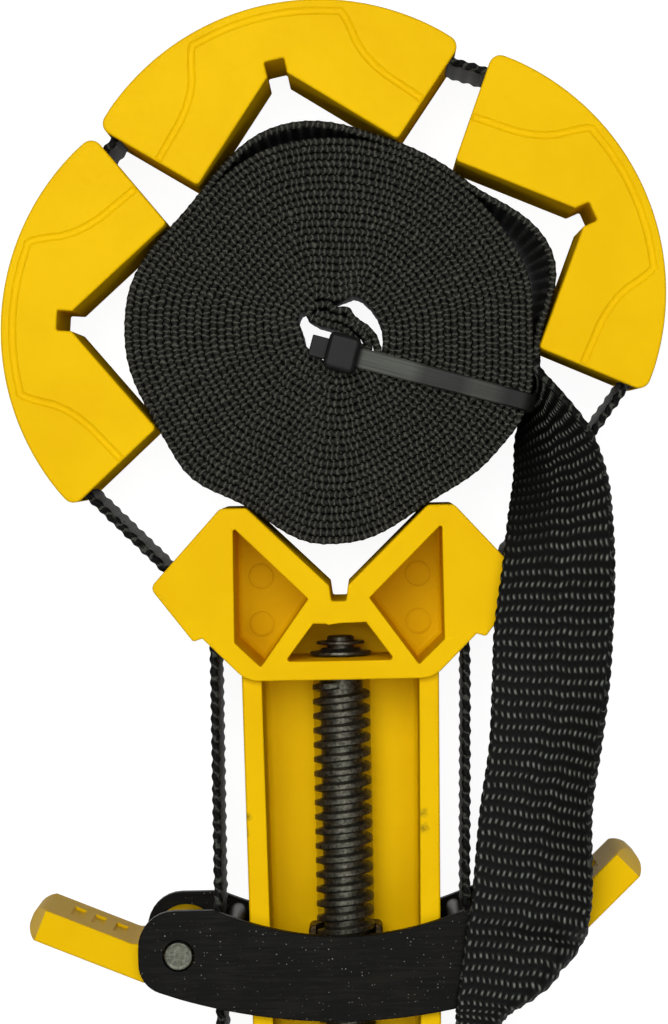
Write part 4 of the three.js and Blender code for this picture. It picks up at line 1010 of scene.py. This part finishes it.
# The yarn that turns round the webbing's edge, with painted shade in its dips and painted glints on its
# crests: edge map, X in turns of yarn along it, Y across it
def webbingEdge(name, crossed):
    look = edgeLook
    material, nodes, links, bsdf = shader(name)
    where = node(nodes, "ShaderNodeUVMap", uv_map="weave").outputs["UV"]
    split = node(nodes, "ShaderNodeSeparateXYZ", links, {"Vector": where})
    maths = partial(mathNode, nodes, links)
    place = objectPlace(nodes)
    wander = maths("MULTIPLY", noise(nodes, links, place, look["wander"][0], 2.0), look["wander"][1])
    turns = maths("MULTIPLY", maths("ADD", split.outputs["X"], wander), 2 * math.pi)
    if crossed:  # each yarn bows over the edge, and painted shade darkens only the pits between yarns and laps
        curve = maths("MULTIPLY", maths("MULTIPLY", split.outputs["Y"], split.outputs["Y"]), 4 * look["bow"])
        strand = maths("COSINE", maths("ADD", turns, curve))
        pitShade = maths("MULTIPLY", maths("ABSOLUTE", split.outputs["Y"]), -look["pitShadeDepth"])
        strand = maths("SMOOTH_MAX", strand, pitShade, look["meeting"])
    else:
        strand = maths("COSINE", maths("MULTIPLY_ADD", split.outputs["Y"], look["slant"] * math.pi, turns))
    fibre = noise(nodes, links, place, look["fibre"][0], 3.0)
    glint = maths("MULTIPLY_ADD", fibre, look["fibre"][1], strand)
    # pale is painted light: glints on the yarn crests, and for crossed edges painted shade in the pits
    pale = spread(nodes, links, glint, *look["pitGlint" if crossed else "twistGlint"], 0.0, 1.0)
    stops = look["pitShadeAndGlints" if crossed else "twistShadeAndGlints"]
    links.new(ramp(nodes, links, pale, stops), bsdf.inputs["Base Color"])
    bumped(nodes, links, bsdf, maths("MULTIPLY_ADD", fibre, 0.4, strand), look["yarnDepth"])
    bsdf.inputs["Roughness"].default_value = look["roughness"]
    bsdf.inputs["Specular IOR Level"].default_value = look["gloss"]
    return material


edgeTwisted, edgeCrossed = webbingEdge("twistedEdge", False), webbingEdge("crossedEdge", True)


def evenSteps(line, step):  # points along a line at even steps, with the length run at each
    line = np.asarray(line, float)
    run = np.r_[0, np.cumsum(np.linalg.norm(np.diff(line, axis=0), axis=1))]
    at = np.linspace(0, run[-1], int(round(run[-1] / step)) + 1)
    return np.stack([np.interp(at, run, line[:, i]) for i in range(line.shape[1])], 1), at


# A section of the webbing: v across it, n through it (-1 to 1) and turn round the edge (-0.5 to 0.5),
# and which of its sides belong to an edge
def bandSection(flats, edgeSteps=5):
    deep, wide = webbing["edgeDepth"], band["width"]
    angles = np.radians(np.linspace(-90, 90, edgeSteps + 2)[1:-1])
    flats = np.r_[deep, flats, wide - deep]
    rows = [(v, 1, 0) for v in flats]
    rows += [(wide - deep + deep * math.cos(a), -math.sin(a), a / math.pi) for a in angles]
    rows += [(v, -1, 0) for v in flats[::-1]]
    rows += [(deep - deep * math.cos(a), math.sin(a), a / math.pi) for a in angles]
    count = len(flats)
    edge = [False] * (count - 1) + [True] * (edgeSteps + 1)
    return np.array(rows), np.array(edge * 2)


# One closed strip: points of every section in a grid, the weave map (mm) of flats and the map of edges
def bandMesh(name, points, along, across, edge, edgeMap):
    stations, count = points.shape[:2]
    vertex = np.arange(stations * count).reshape(stations, count)
    following = np.roll(vertex, -1, 1)
    quads = np.stack([vertex[:-1], vertex[1:], following[1:], following[:-1]], -1).reshape(-1, 4)
    faces = quads.tolist() + [vertex[0].tolist(), vertex[-1][::-1].tolist()]
    mesh = bpy.data.meshes.new(name)
    placed = points.reshape(-1, 3) * mm - np.array([0, clamp["restPoint"] * mm, 0])
    mesh.from_pydata(placed.tolist(), [], faces)
    isEdge = np.tile(edge, stations - 1)
    u = np.broadcast_to(np.asarray(along).reshape(stations, -1), (stations, count))
    mapped = np.stack([u, np.broadcast_to(across, (stations, count))], -1) * mm
    edged = np.stack(np.broadcast_arrays(u / edgeMap["period"], edgeMap["turn"][None]), -1)
    nextMapped, nextEdged = np.roll(mapped, -1, 1), np.roll(edged, -1, 1)

    def corners(here, there):
        return np.stack([here[:-1], here[1:], there[1:], there[:-1]], 2).reshape(-1, 4, 2)

    flat, rounded = corners(mapped, nextMapped), corners(edged, nextEdged)
    uv = np.where(isEdge[:, None, None], rounded, flat).reshape(-1, 2)
    uv = np.vstack([uv, np.zeros((2 * count, 2))])
    mesh.uv_layers.new(name="weave").data.foreach_set("uv", uv.astype(np.float32).ravel())
    mesh.polygons.foreach_set("material_index", np.r_[isEdge.astype(int), 0, 0])
    mesh.polygons.foreach_set("use_smooth", np.ones(len(mesh.polygons), bool))
    mesh.update()
    return newObject(name, mesh)


# Webbing that stands on its edge along a line, with its edge yarns in relief
def uprightBand(name, line, half, section, edge, period, swing=0.0, strand=0.0, crest=0.0,
                phase=None, lift=None, lean=None, slant=1.2, bow=0.0):
    line, along = evenSteps(line, webbing["step"])
    ahead = np.gradient(line, axis=0)
    ahead /= np.linalg.norm(ahead, axis=1)[:, None]
    side = np.stack([-ahead[:, 1], ahead[:, 0]], 1)
    v, n, turn = section.T
    wave = 2 * math.pi * along / period + (0 if phase is None else phase(along))
    inward = np.minimum(v, band["width"] - v) / webbing["fade"]
    near = np.clip(1 - inward, 0, 1)[None] ** 0.5  # the relief is full at the edges and fades away inwards
    upper = np.where(v > band["width"] / 2, 1.0, -1.0)
    ripple = np.cos(wave[:, None] + math.pi * np.where(n > 0, 0.0, 1.0)[None])
    thick = half(along)[:, None] if callable(half) else half
    out = n * (thick + strand * ripple * near) + swing * np.cos(wave / 2)[:, None] * near
    if lean is not None:  # the lower edge stands to one side of the upper one
        out = out - lean(along)[:, None] * (1 - v / band["width"])[None]
    yarn = wave[:, None] + (slant * math.pi * turn + bow * (2 * turn) ** 2)[None]
    z = band["base"] + v[None] + upper * crest * np.cos(yarn) * (np.abs(n) < 0.99)
    if lift is not None:
        z = z + lift(along)[:, None]
    x = line[:, 0, None] + side[:, 0, None] * out
    y = line[:, 1, None] + side[:, 1, None] * out
    grid = np.stack(np.broadcast_arrays(x, y, z), -1)
    return bandMesh(name, grid, along, v, edge, {"period": period, "turn": turn}), along[-1]


# The cloth and edge materials in the slots of one piece of webbing, its node hidden, and its place on a body,
# or baked into the mesh where ends are given
def clothed(obj, edgeMaterial, cadNode, body=None, ends=None):
    obj.data.materials.append(cloth)
    obj.data.materials.append(edgeMaterial)
    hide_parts(cadNode)
    if ends:
        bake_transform(obj)
    else:
        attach(obj, body)


def loopLine():
    far, x = jaw["halfAngle"], band["legX"]
    line = [(-x, webbing["split"] + webbing["gap"]), *shoulderRoute(-1)[1]]
    for name in ("left_jaw", "top_jaw", "right_jaw"):
        angle = jawPlaces[name][1]
        line += arcPoints(jawCentre(name), jaw["bandRadius"], angle + far, angle - far, 60)
    line += [*shoulderRoute(1)[1][::-1], (x, webbing["split"] + webbing["gap"])]
    low = webbing["split"] + 2 * webbing["gap"]
    return [line[0], *(point for point in line[1:-1] if point[1] > low), line[-1]]


def makeLoopAndLegs():
    section, edge = bandSection(webbing["flats"])
    shape = {"half": band["thickness"] / 2, "section": section, "edge": edge, "period": webbing["loop"],
             "swing": webbing["swing"], "strand": webbing["strand"], "crest": webbing["crest"]}
    loop, length = uprightBand("webbing_loop", loopLine(), **shape)
    clothed(loop, edgeTwisted, "band_loop", body="frame")
    x, top, ends = band["legX"], webbing["split"], webbing["legBlend"]
    upper, lower = webbing["legBends"]
    legs = {
        "left": (-x, webbing["leftFootX"], webbing["legFoot"]),
        "right": (x, webbing["rightFootX"], webbing["rightFoot"]),
    }
    for side, (start, foot, low) in legs.items():
        line = [(start, top), (start, 0), ((start + foot) / 2, upper), (foot, lower), (foot, low)]
        leg, length = uprightBand(side + "_leg_webbing", soften(line, 3), **shape)
        clothed(leg, edgeTwisted, f"band_{side}_leg", ends=ends)


makeLoopAndLegs()
print("loop and legs made")

roll = {
    "radius": 41.515, "centre": (-0.005, 0.67), "core": 7.307, "coreShift": 2.2, "coreAngle": 25.0,
    "waves": [(2, 0.006, 0.0), (3, 0.012, 51.0), (4, 0.011, -18.0)], "clearance": 0.45, "dentHalf": 24.0,
    "lapStart": 165.0, "lapEnd": -7.0, "bulges": [(101.0, 0.06, 30.0), (21.5, 0.12, 27.0)], "strip": 0.818,
    "loops": 23, "steps": 120, "fill": 0.485, "middle": 0.497, "most": 1.25, "swell": 0.12, "lean": 0.8,
    "hole": [(30.0, -0.7, 60.0), (84.0, -2.2, 28.0), (150.0, 1.3, 26.0), (235.0, -1.1, 42.0)],
    "dip": (40.0, -3.6, 66.0), "rest": (-16.0, 1.2, 24.0), "firstAngle": 98.0, "bow": 2.4,
    "flats": [2.2, 12.5, 22.8], "middleHalf": 5, "swing": 0.06, "strand": 0.0447, "crest": 0.14,
    "wander": (9, 0.12), "riseReach": 160,
}

# The strap's inner end, folded to and fro in the hole, counted from the roll's middle
innerEnd = [
    (-3.3, 5.1), (-1.4, 4.4), (0.2, 4.0), (1.9, 3.7), (3.5, 2.9), (5.1, 1.6), (6.9, -0.1), (7.7, -2.4),
    (5.4, -2.2), (3.6, 0.6), (1.8, 1.9), (0.0, 2.4), (-1.6, 2.8), (-3.2, 3.5), (-4.7, 4.4), (-4.8, 5.9),
    (-3.2, 6.8),
]


def bumpAt(angle, at, half):
    off = (np.asarray(angle) - at + 180) % 360 - 180
    return np.where(np.abs(off) < half, (1 + np.cos(math.pi * off / half)) / 2, 0)


def rollCentre():
    x, y = roll["centre"]
    return (x * jaw["radius"], clamp["headHeight"] + y * jaw["radius"])


def rollBase(angle):
    waves = [share * np.cos(np.radians(lobes * angle - phase)) for lobes, share, phase in roll["waves"]]
    return roll["radius"] * (1 + sum(waves))


def rollLift(angle):
    return roll["radius"] * sum(share * bumpAt(angle, at, half) for at, share, half in roll["bulges"])


def pressingCorners():  # where the jaws' and the head's corners press into the roll, and how deep
    lean = math.radians(jaw["seatAngle"])
    inward, aside = jaw["seat"] - jaw["leg"] * math.cos(lean), jaw["relief"] / 2 + jaw["leg"] * math.sin(lean)
    plateau = head["plateau"][0] * head["halfWidth"]
    corners = [(-plateau, clamp["headHeight"]), (plateau, clamp["headHeight"])]
    for name, (_, angle) in jawPlaces.items():
        reach, off = math.hypot(inward, aside), math.degrees(math.atan2(aside, inward))
        corners += [polar(jawCentre(name), reach, angle + side * off) for side in (-1, 1)]
    centre, pitch, dents = rollCentre(), (roll["radius"] - roll["core"]) / roll["loops"], []
    for x, y in corners:
        away = (x - centre[0], y - centre[1])
        angle = math.degrees(math.atan2(away[1], away[0]))
        lapsOver = (roll["lapStart"] - roll["lapEnd"] - (angle - roll["lapEnd"]) % 360) / 360
        outermost = rollBase(angle) + pitch * lapsOver + rollLift(angle)
        kept = math.hypot(*away) - roll["strip"] / 2 - roll["clearance"]
        dents.append((angle, max(0, float(outermost) - kept)))
    return dents


def rollLine():
    start = roll["lapStart"] + 360 * roll["loops"]
    angle = np.linspace(start, roll["lapEnd"], int((start - roll["lapEnd"]) / 360 * roll["steps"]) + 1)
    edge = rollBase(angle)
    for at, depth in pressingCorners():
        edge = edge - depth * bumpAt(angle, at, roll["dentHalf"])
    edge = edge + roll["rest"][1] * bumpAt(angle, roll["rest"][0], roll["rest"][2])
    core = roll["core"] + roll["coreShift"] * np.cos(np.radians(angle - roll["coreAngle"]))
    for at, depth, half in roll["hole"]:
        core = core + depth * bumpAt(angle, at, half)
    grown = (start - angle) / (360 * roll["loops"])
    lift = np.where(grown > 1, rollLift(angle), 0)
    at, depth, half = roll["dip"]  # the first lap hangs into the hole
    radius = core + (edge - core) * grown + lift
    radius = radius + np.where(start - angle < 180, depth * bumpAt(angle, at, half), 0)
    line = np.stack([radius * np.cos(np.radians(angle)), radius * np.sin(np.radians(angle))], 1)
    kept = angle <= start - roll["lapStart"] + roll["firstAngle"]
    line, lift, pitch = line[kept], lift[kept], ((edge - core) / roll["loops"])[kept]
    inner = soften([*innerEnd, line[0]], 3)[:-1]
    line = np.vstack([inner, line]) + np.array(rollCentre())
    lift, pitch = (np.r_[np.full(len(inner), values[0]), values] for values in (lift, pitch))
    run = np.r_[0, np.cumsum(np.linalg.norm(np.diff(line, axis=0), axis=1))]
    return line, run, pitch, lift


def smoothNoise(rng, count, reach):  # slow waves of about unit height
    kernel = np.hanning(reach)
    made = np.convolve(rng.standard_normal(count + reach - 1), kernel / np.sqrt(np.sum(kernel ** 2)), "valid")
    return made[:count]


def makeRoll():
    line, run, pitch, lifted = rollLine()
    rng = np.random.default_rng(webbing["seed"])
    count = int(run[-1] / webbing["step"]) + 2
    marks = np.linspace(0, run[-1], count)
    reach, share = roll["wander"]
    wander = np.cumsum(smoothNoise(rng, count, reach)) * share
    rise = smoothNoise(rng, count, roll["riseReach"])
    most = roll["most"] * (roll["radius"] - roll["core"]) / roll["loops"]
    near = np.minimum(np.interp(marks, run, pitch), most)
    section, edge = bandSection(roll["flats"])
    middle = np.abs(section[:, 0] - band["width"] / 2) < roll["middleHalf"]
    section[middle, 1] *= roll["middle"] / roll["fill"]
    obj, length = uprightBand(
        "webbing_roll", line, lambda at: np.interp(at, marks, near) * roll["fill"], section, edge,
        webbing["laps"], swing=roll["swing"], strand=roll["strand"], crest=roll["crest"],
        phase=lambda at: np.interp(at, marks, wander),
        lift=lambda at: np.interp(at, marks, rise) * roll["swell"],
        lean=lambda at: np.interp(at, run, lifted) * roll["lean"], slant=0.0, bow=roll["bow"])
    clothed(obj, edgeCrossed, "band_roll", body="frame")
    print("roll of", round(length), "mm")


makeRoll()

strap = {
    "clear": 1.6, "turnRadius": 4.2, "turnFoot": -89.5, "footY": -71.8, "sections": 12, "step": 0.32,
    "across": 0.3125, "crest": 0.2, "edgePeriod": 2.5, "edgeSlant": 1.2, "edgeFade": 1.5, "startGap": 0.05,
    "hangFrom": (0, 0.038, 0), "hangTo": (0, -0.057, 0),
}

# The free strap's sections, each from its left edge: share of the way from the roll to the crossbar, side
# off the line between them in widths, share of the rise from back to front, tilt at both edges in degrees,
# and the shares of the width between which it bends
strapSections = [
    (0, -0.009, 0, 90, 90, 0, 1), (0.022, 0.005, 0, 90, 88, 0, 1), (0.07, 0.01, 0.17, 84, 70, 0, 1),
    (0.146, -0.065, 0.373, 60, 48, 0, 1), (0.221, -0.06, 0.63, 46, 41, 0, 1),
    (0.294, -0.08, 0.87, 38, 34, 0, 1),
    (0.366, -0.084, 1, 31, 30, 0, 1), (0.489, -0.095, 1, 18, 21, 0, 1), (0.586, -0.062, 1, 8, 31, 0, 1),
    (0.707, -0.022, 1, 8, 44, 0, 1), (0.828, -0.034, 1, 6, 44, 0, 1), (0.985, -0.013, 1.01, 2, 24, 0, 1),
    (1.04, -0.056, 1.01, 0, 12, 0, 1), (1.086, -0.084, 1, 0, -50, 0.64, 0.95),
    (1.12, -0.105, 1, 0, -84, 0.59, 0.93), (1.143, -0.12, 1, 0, -90, 0.55, 0.88),
    (1.17, -0.14, 1, 0, -90, 0.41, 0.75), (1.194, -0.15, 1, 0, -90, 0.24, 0.58),
    (1.216, -0.15, 1, 0, -90, 0.14, 0.5), (1.25, -0.13, 1, 0, -90, 0.06, 0.42),
    (1.285, -0.03, 0.95, -20, -90, 0, 0.36),
    (1.32, 0.13, 0.88, -55, -90, 0, 0.3), (1.345, 0.27, 0.84, -80, -90, 0, 0.5),
]


def catmullRom(knots, steps):  # a smooth line through the knots
    knots = np.vstack([2 * knots[0] - knots[1], knots, 2 * knots[-1] - knots[-2]])
    t = np.linspace(0, 1, steps, endpoint=False)[:, None]
    made = []
    for a, b, c, d in zip(knots, knots[1:], knots[2:], knots[3:]):
        square, cube = 2 * a - 5 * b + 4 * c - d, 3 * b - a - 3 * c + d
        made.append(b + t * (c - a) / 2 + t ** 2 * square / 2 + t ** 3 * cube / 2)
    return np.vstack([*made, knots[-2:-1]])


def strapSheet():  # the middle of the webbing's thickness: sections x places across it
    (endX, endY), rows = rollLine()[0][-1], np.array(strapSections, float)
    start, width = endY - strap["startGap"], band["width"]
    rise = plate["frontBase"] + plate["thickness"] + strap["clear"] - band["base"]
    x = endX + (band["legX"] - endX) * np.minimum(rows[:, 0], 1) + rows[:, 1] * width
    y = start - rows[:, 0] * (start - plate["top"])
    knots = catmullRom(np.c_[x, y, band["base"] + rows[:, 2] * rise, rows[:, 3:]], strap["sections"])
    count = int(round(width / strap["across"]))
    share = (np.arange(count)[None] + 0.5) / count
    share = np.clip((share - knots[:, 5:6]) / (knots[:, 6:7] - knots[:, 5:6]), 0, 1)
    left, right = knots[:, 3:4], knots[:, 4:5]
    tilt = np.radians(left + (right - left) * share * share * (3 - 2 * share))
    stride = np.stack([np.cos(tilt), np.zeros_like(tilt), np.sin(tilt)], -1) * width / count
    hung = knots[:, None, :3] + np.concatenate([np.zeros((len(knots), 1, 3)), np.cumsum(stride, 1)], 1)
    radius = strap["turnRadius"]
    bend = arcPoints((band["legX"] + radius, strap["turnFoot"]), radius, 0, -180, 16)
    upright = np.linspace(band["base"] + width, band["base"], count + 1)
    turned = [[(x, y, z) for z in upright] for x, y in [*bend, (band["legX"], strap["footY"])]]
    sheet = np.concatenate([hung, np.array(turned)])
    middle = sheet[:, count // 2]
    run = np.r_[0, np.cumsum(np.linalg.norm(np.diff(middle, axis=0), axis=1))]
    along = np.linspace(0, run[-1], int(round(run[-1] / strap["step"])) + 1)
    flat = sheet.reshape(len(sheet), -1)
    even = np.stack([np.interp(along, run, column) for column in flat.T], 1)
    return even.reshape(len(along), count + 1, 3), along


def weaveRelief(along, across):  # zigzag ribs along the webbing, each raised where it floats over a row
    row, column = along / weave["row"], across / weave["rib"]
    inRow = row % 1 - 0.5
    lean = np.where(np.floor(row) % 2 > 0, 1, -1) * weave["lean"]
    rib, knot = np.cos(2 * math.pi * (column + lean * inRow)), np.cos(2 * math.pi * inRow)
    return weave["ribHeight"] * rib + weave["knotHeight"] * knot * (1 + rib) / 2


def makeStrap():
    sheet, along = strapSheet()
    width, deep, half = band["width"], webbing["edgeDepth"], band["thickness"] / 2
    flats = np.linspace(deep, width - deep, int(round((width - 2 * deep) / strap["across"])) + 1)[1:-1]
    section, edge = bandSection(flats)
    v, n, turn = section.T
    wave = 2 * math.pi * along[:, None] / strap["edgePeriod"] + strap["edgeSlant"] * math.pi * turn[None]
    rim = (np.abs(n) < 0.99) * np.where(v > width / 2, 1, -1)
    place = np.clip(v[None] + strap["crest"] * rim[None] * np.cos(wave), 0, width)
    place = place / width * (sheet.shape[1] - 1)
    low = np.minimum(place.astype(int), sheet.shape[1] - 2)
    part, station = (place - low)[..., None], np.arange(len(along))[:, None]
    middle = sheet[station, low] * (1 - part) + sheet[station, low + 1] * part
    ahead, wide = np.gradient(sheet, axis=0), np.gradient(sheet, axis=1)
    normal = np.cross(ahead, wide)
    normal /= np.linalg.norm(normal, axis=2)[..., None]
    normal = normal[station, low]
    near = np.clip(np.minimum(v, width - v) / strap["edgeFade"], 0, 1)[None]
    slope = np.interp(along, *np.array(weave["slopes"]).T)[:, None]
    ripple = sum(high * np.sin(2 * math.pi * (v[None] / reach + along[:, None] / weave["waveRun"] + start))
                 for high, reach, start in weave["waves"])
    woven = along[:, None] + slope * (v[None] - width / 2) + ripple  # the rows lie aslant and wavy
    relief = weaveRelief(woven, v[None]) * near * np.sign(n)[None] * (np.abs(n) > 0.99)
    points = middle + normal * (n[None] * half + relief)[..., None]
    obj = bandMesh("webbing_strap", points, woven, v, edge, {"period": strap["edgePeriod"], "turn": turn})
    clothed(obj, edgeTwisted, "band_strap",
            ends=(strap["hangFrom"], strap["hangTo"]))


makeStrap()
print("strap made")

tie = {
    "width": (4.3, 3.7), "thickness": 1.1, "angle": -15.8, "offset": 4.2, "innerReach": 1.1,
    "backShare": 0.96, "frontShare": 0.985, "gap": 0.3, "fillet": 2.2, "edge": 0.3, "step": 0.3,
    "tooth": 1.1, "toothDepth": 0.22, "toothShare": 0.3, "toothHalf": (0.58, 0.62), "headStart": -2.2,
    "headEnd": 4.4, "headWidth": 7.7, "headHeight": 4.6, "headFillet": 1.2, "headRims": (0.3, 1.0),
    "stubStart": -5.6, "stubHalf": 2.2, "stubRim": 0.25, "stubFillet": 0.2,
}


def tiePlace():  # from the tie's own plane, reach and height and across, to its place over the roll
    core = polar(rollCentre(), roll["coreShift"], roll["coreAngle"])
    stand = Matrix.Rotation(math.radians(90), 4, "X")
    turned = Matrix.Rotation(math.radians(tie["angle"]), 4, "Z") @ stand
    return Matrix.Translation((*core, 0)) @ turned @ Matrix.Translation((0, 0, tie["offset"]))


def tieFront():  # the height at which the tie lies on the roll's front
    return band["base"] + band["width"] + tie["gap"]


def tieLine():  # the closed middle line, counter-clockwise, with the length run at each point
    half, back, front = tie["thickness"] / 2, band["base"] - tie["gap"], tieFront()
    low, high = tie["backShare"] * roll["radius"] + half, tie["frontShare"] * roll["radius"] + half
    corners = [(tie["innerReach"] + half, back - half), (low, back - half), (high, front + half),
               (tie["innerReach"] + half, front + half)]
    loop = filleted([(x, y, tie["fillet"]) for x, y in corners])
    even, run = evenSteps(np.vstack([loop, loop[:1]]), tie["step"])
    return even[:-1], run[:-1]


def makeTie():
    line, run = tieLine()
    ahead = np.roll(line, -1, 0) - np.roll(line, 1, 0)
    ahead /= np.linalg.norm(ahead, axis=1)[:, None]
    out = np.stack([ahead[:, 1], -ahead[:, 0]], 1)
    half, e = tie["thickness"] / 2, tie["edge"]
    wide = np.interp(line[:, 0], [0, roll["radius"]], tie["width"]) / 2
    inner, outer = tie["toothHalf"]
    section = [(1, -half + e), (1, half - e), (1 - e / 2, half), (e / 2 - 1, half), (-1, half - e)]
    section += [(-1, -half + e), (e / 2 - 1, -half), (-outer, -half), (-inner, -half), (inner, -half)]
    section += [(outer, -half), (1 - e / 2, -half)]
    toothed = np.array([k in (8, 9) for k in range(len(section))])
    share = run / tie["tooth"] % 1
    rising = tie["toothShare"]
    tooth = np.where(share < rising, share / rising, (1 - share) / (1 - rising))
    across, rise = np.array(section).T
    rise = rise[None] + toothed[None] * tie["toothDepth"] * tooth[:, None]
    points = np.concatenate([
        line[:, None] + out[:, None] * rise[..., None], (across[None] * wide[:, None])[..., None]], 2)
    bm = bmesh.new()
    rows = addRings(bm, points)
    joinRows(bm, rows[-1], rows[0])
    body = fromBmesh("tie_loop", bm)
    front = tieFront()
    halfHead, top, r = tie["headWidth"] / 2, front + tie["headHeight"], tie["headFillet"]
    low, high = tie["headStart"], tie["headEnd"]
    corners = [(low, -halfHead, r), (high, -halfHead, r), (high, halfHead, r), (low, halfHead, r)]
    block = carved("tieHead", corners, rimProfile(front, top, *tie["headRims"], 6))
    start, end, side = tie["stubStart"], high - r, tie["stubHalf"]
    rim, fillet, flat = tie["stubRim"], tie["stubFillet"], front + tie["thickness"]
    stub = [(start, -side, rim), (end, -side, fillet), (end, side, fillet), (start, side, rim)]
    tail = carved("tieStub", stub, rimProfile(flat, flat + tie["thickness"], rim, rim))
    for part in (block, tail):  # drawn lying flat, so stood into the tie's plane
        part.data.transform(Matrix.Rotation(math.radians(-90), 4, "X"))
    weld(body, block, tail)
    body.data.transform(tiePlace())
    # the tie's strap gets painted sheen, pale bands standing in for reflected light
    streakedSheen = blackNylon("sheenPaintedNylon", polar(rollCentre(), roll["coreShift"], roll["coreAngle"]), tie["angle"])
    finished(body, "frame", streakedSheen, ["cable_tie"], 36)


makeTie()
print("tie made")

grip = {
    "top": -130.1, "length": 112.0, "collar": 11.0, "neck": 9.2, "swell": 15.3, "end": 12.6, "flutes": 8,
    "fluteShare": 0.11, "shares": (0.115, 0.15), "endShare": 0.965, "dome": 0.72, "domeRings": 8,
    "power": 0.8, "fade": 0.22, "rings": 64, "steps": 144, "bore": 5.3, "boreDepth": 34.0, "pinY": 7.0,
    "pinBore": 2.3, "edge": 0.5,
}


def smooth(share):
    share = min(max(share, 0), 1)
    return share * share * (3 - 2 * share)


def gripStations():  # (share of the length, radius, how deep the flutes are)
    g = grip
    edge, bevel = g["edge"] / g["length"], g["edge"]
    collar, (collarEnd, neckStart) = g["collar"], g["shares"]
    yield from ((0, collar - bevel, 0), (edge / 3, collar - bevel / 3, 0), (edge, collar, 0))
    yield from ((collarEnd - edge, collar, 0), (collarEnd, collar - bevel / 2, 0), (neckStart, g["neck"], 0))
    for i in range(g["rings"]):
        share = (i + 1) / g["rings"]
        low = g["neck"] + (g["end"] - g["neck"]) * share
        radius = low + (g["swell"] - low) * math.sin(math.pi * share ** g["power"])
        fade = smooth(share / g["fade"]) * smooth((1 - share) / g["fade"])
        yield (neckStart + (g["endShare"] - neckStart) * share, radius, fade)
    for turn in quarterTurn(g["domeRings"])[1:]:  # the domed end
        radius = g["end"] * (g["dome"] + (1 - g["dome"]) * math.cos(turn))
        yield (g["endShare"] + (1 - g["endShare"]) * math.sin(turn), radius, 0)


def makeGrip():
    g, height = grip, clamp["screwHeight"]
    angles = np.linspace(0, 2 * math.pi, g["steps"], endpoint=False)
    flute = np.maximum(0, np.cos(g["flutes"] * angles)) ** 2
    rings = []
    for share, radius, fade in gripStations():
        reach = radius * (1 - g["fluteShare"] * fade * flute)
        y = np.full(g["steps"], g["top"] - share * g["length"])
        rings.append(np.c_[reach * np.sin(angles), y, height + reach * np.cos(angles)])
    bm = bmesh.new()
    rows = addRings(bm, rings)
    fillEdges(bm, loopEdges(bm, rows[0]))
    fillEdges(bm, loopEdges(bm, rows[-1]))
    body = fromBmesh("grip_moulding", bm)
    depth = g["top"] - g["boreDepth"]
    bore = lathe("bore", [(0, depth), (g["bore"], depth), (g["bore"], g["top"] + 2), (0, g["top"] + 2)])
    ring = ringPoints((0, g["top"] - g["pinY"]), g["pinBore"], 48)
    cut(body, bore, carved("pinBore", ring, [(0, -2), (0, clamp["depth"] + 6)]))
    finished(body, "screw", nylon, ["handle_grip"], 30)


def dressNodes():  # the turned pieces that keep their own solids
    for name in ("left_anvil_pin", "right_anvil_pin", "handle_pin", "collar_washer"):
        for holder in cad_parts[name].material_slots:
            holder.material = pinSteel if "anvil" in name else steelBare


makeGrip()
dressNodes()
print("handle made")
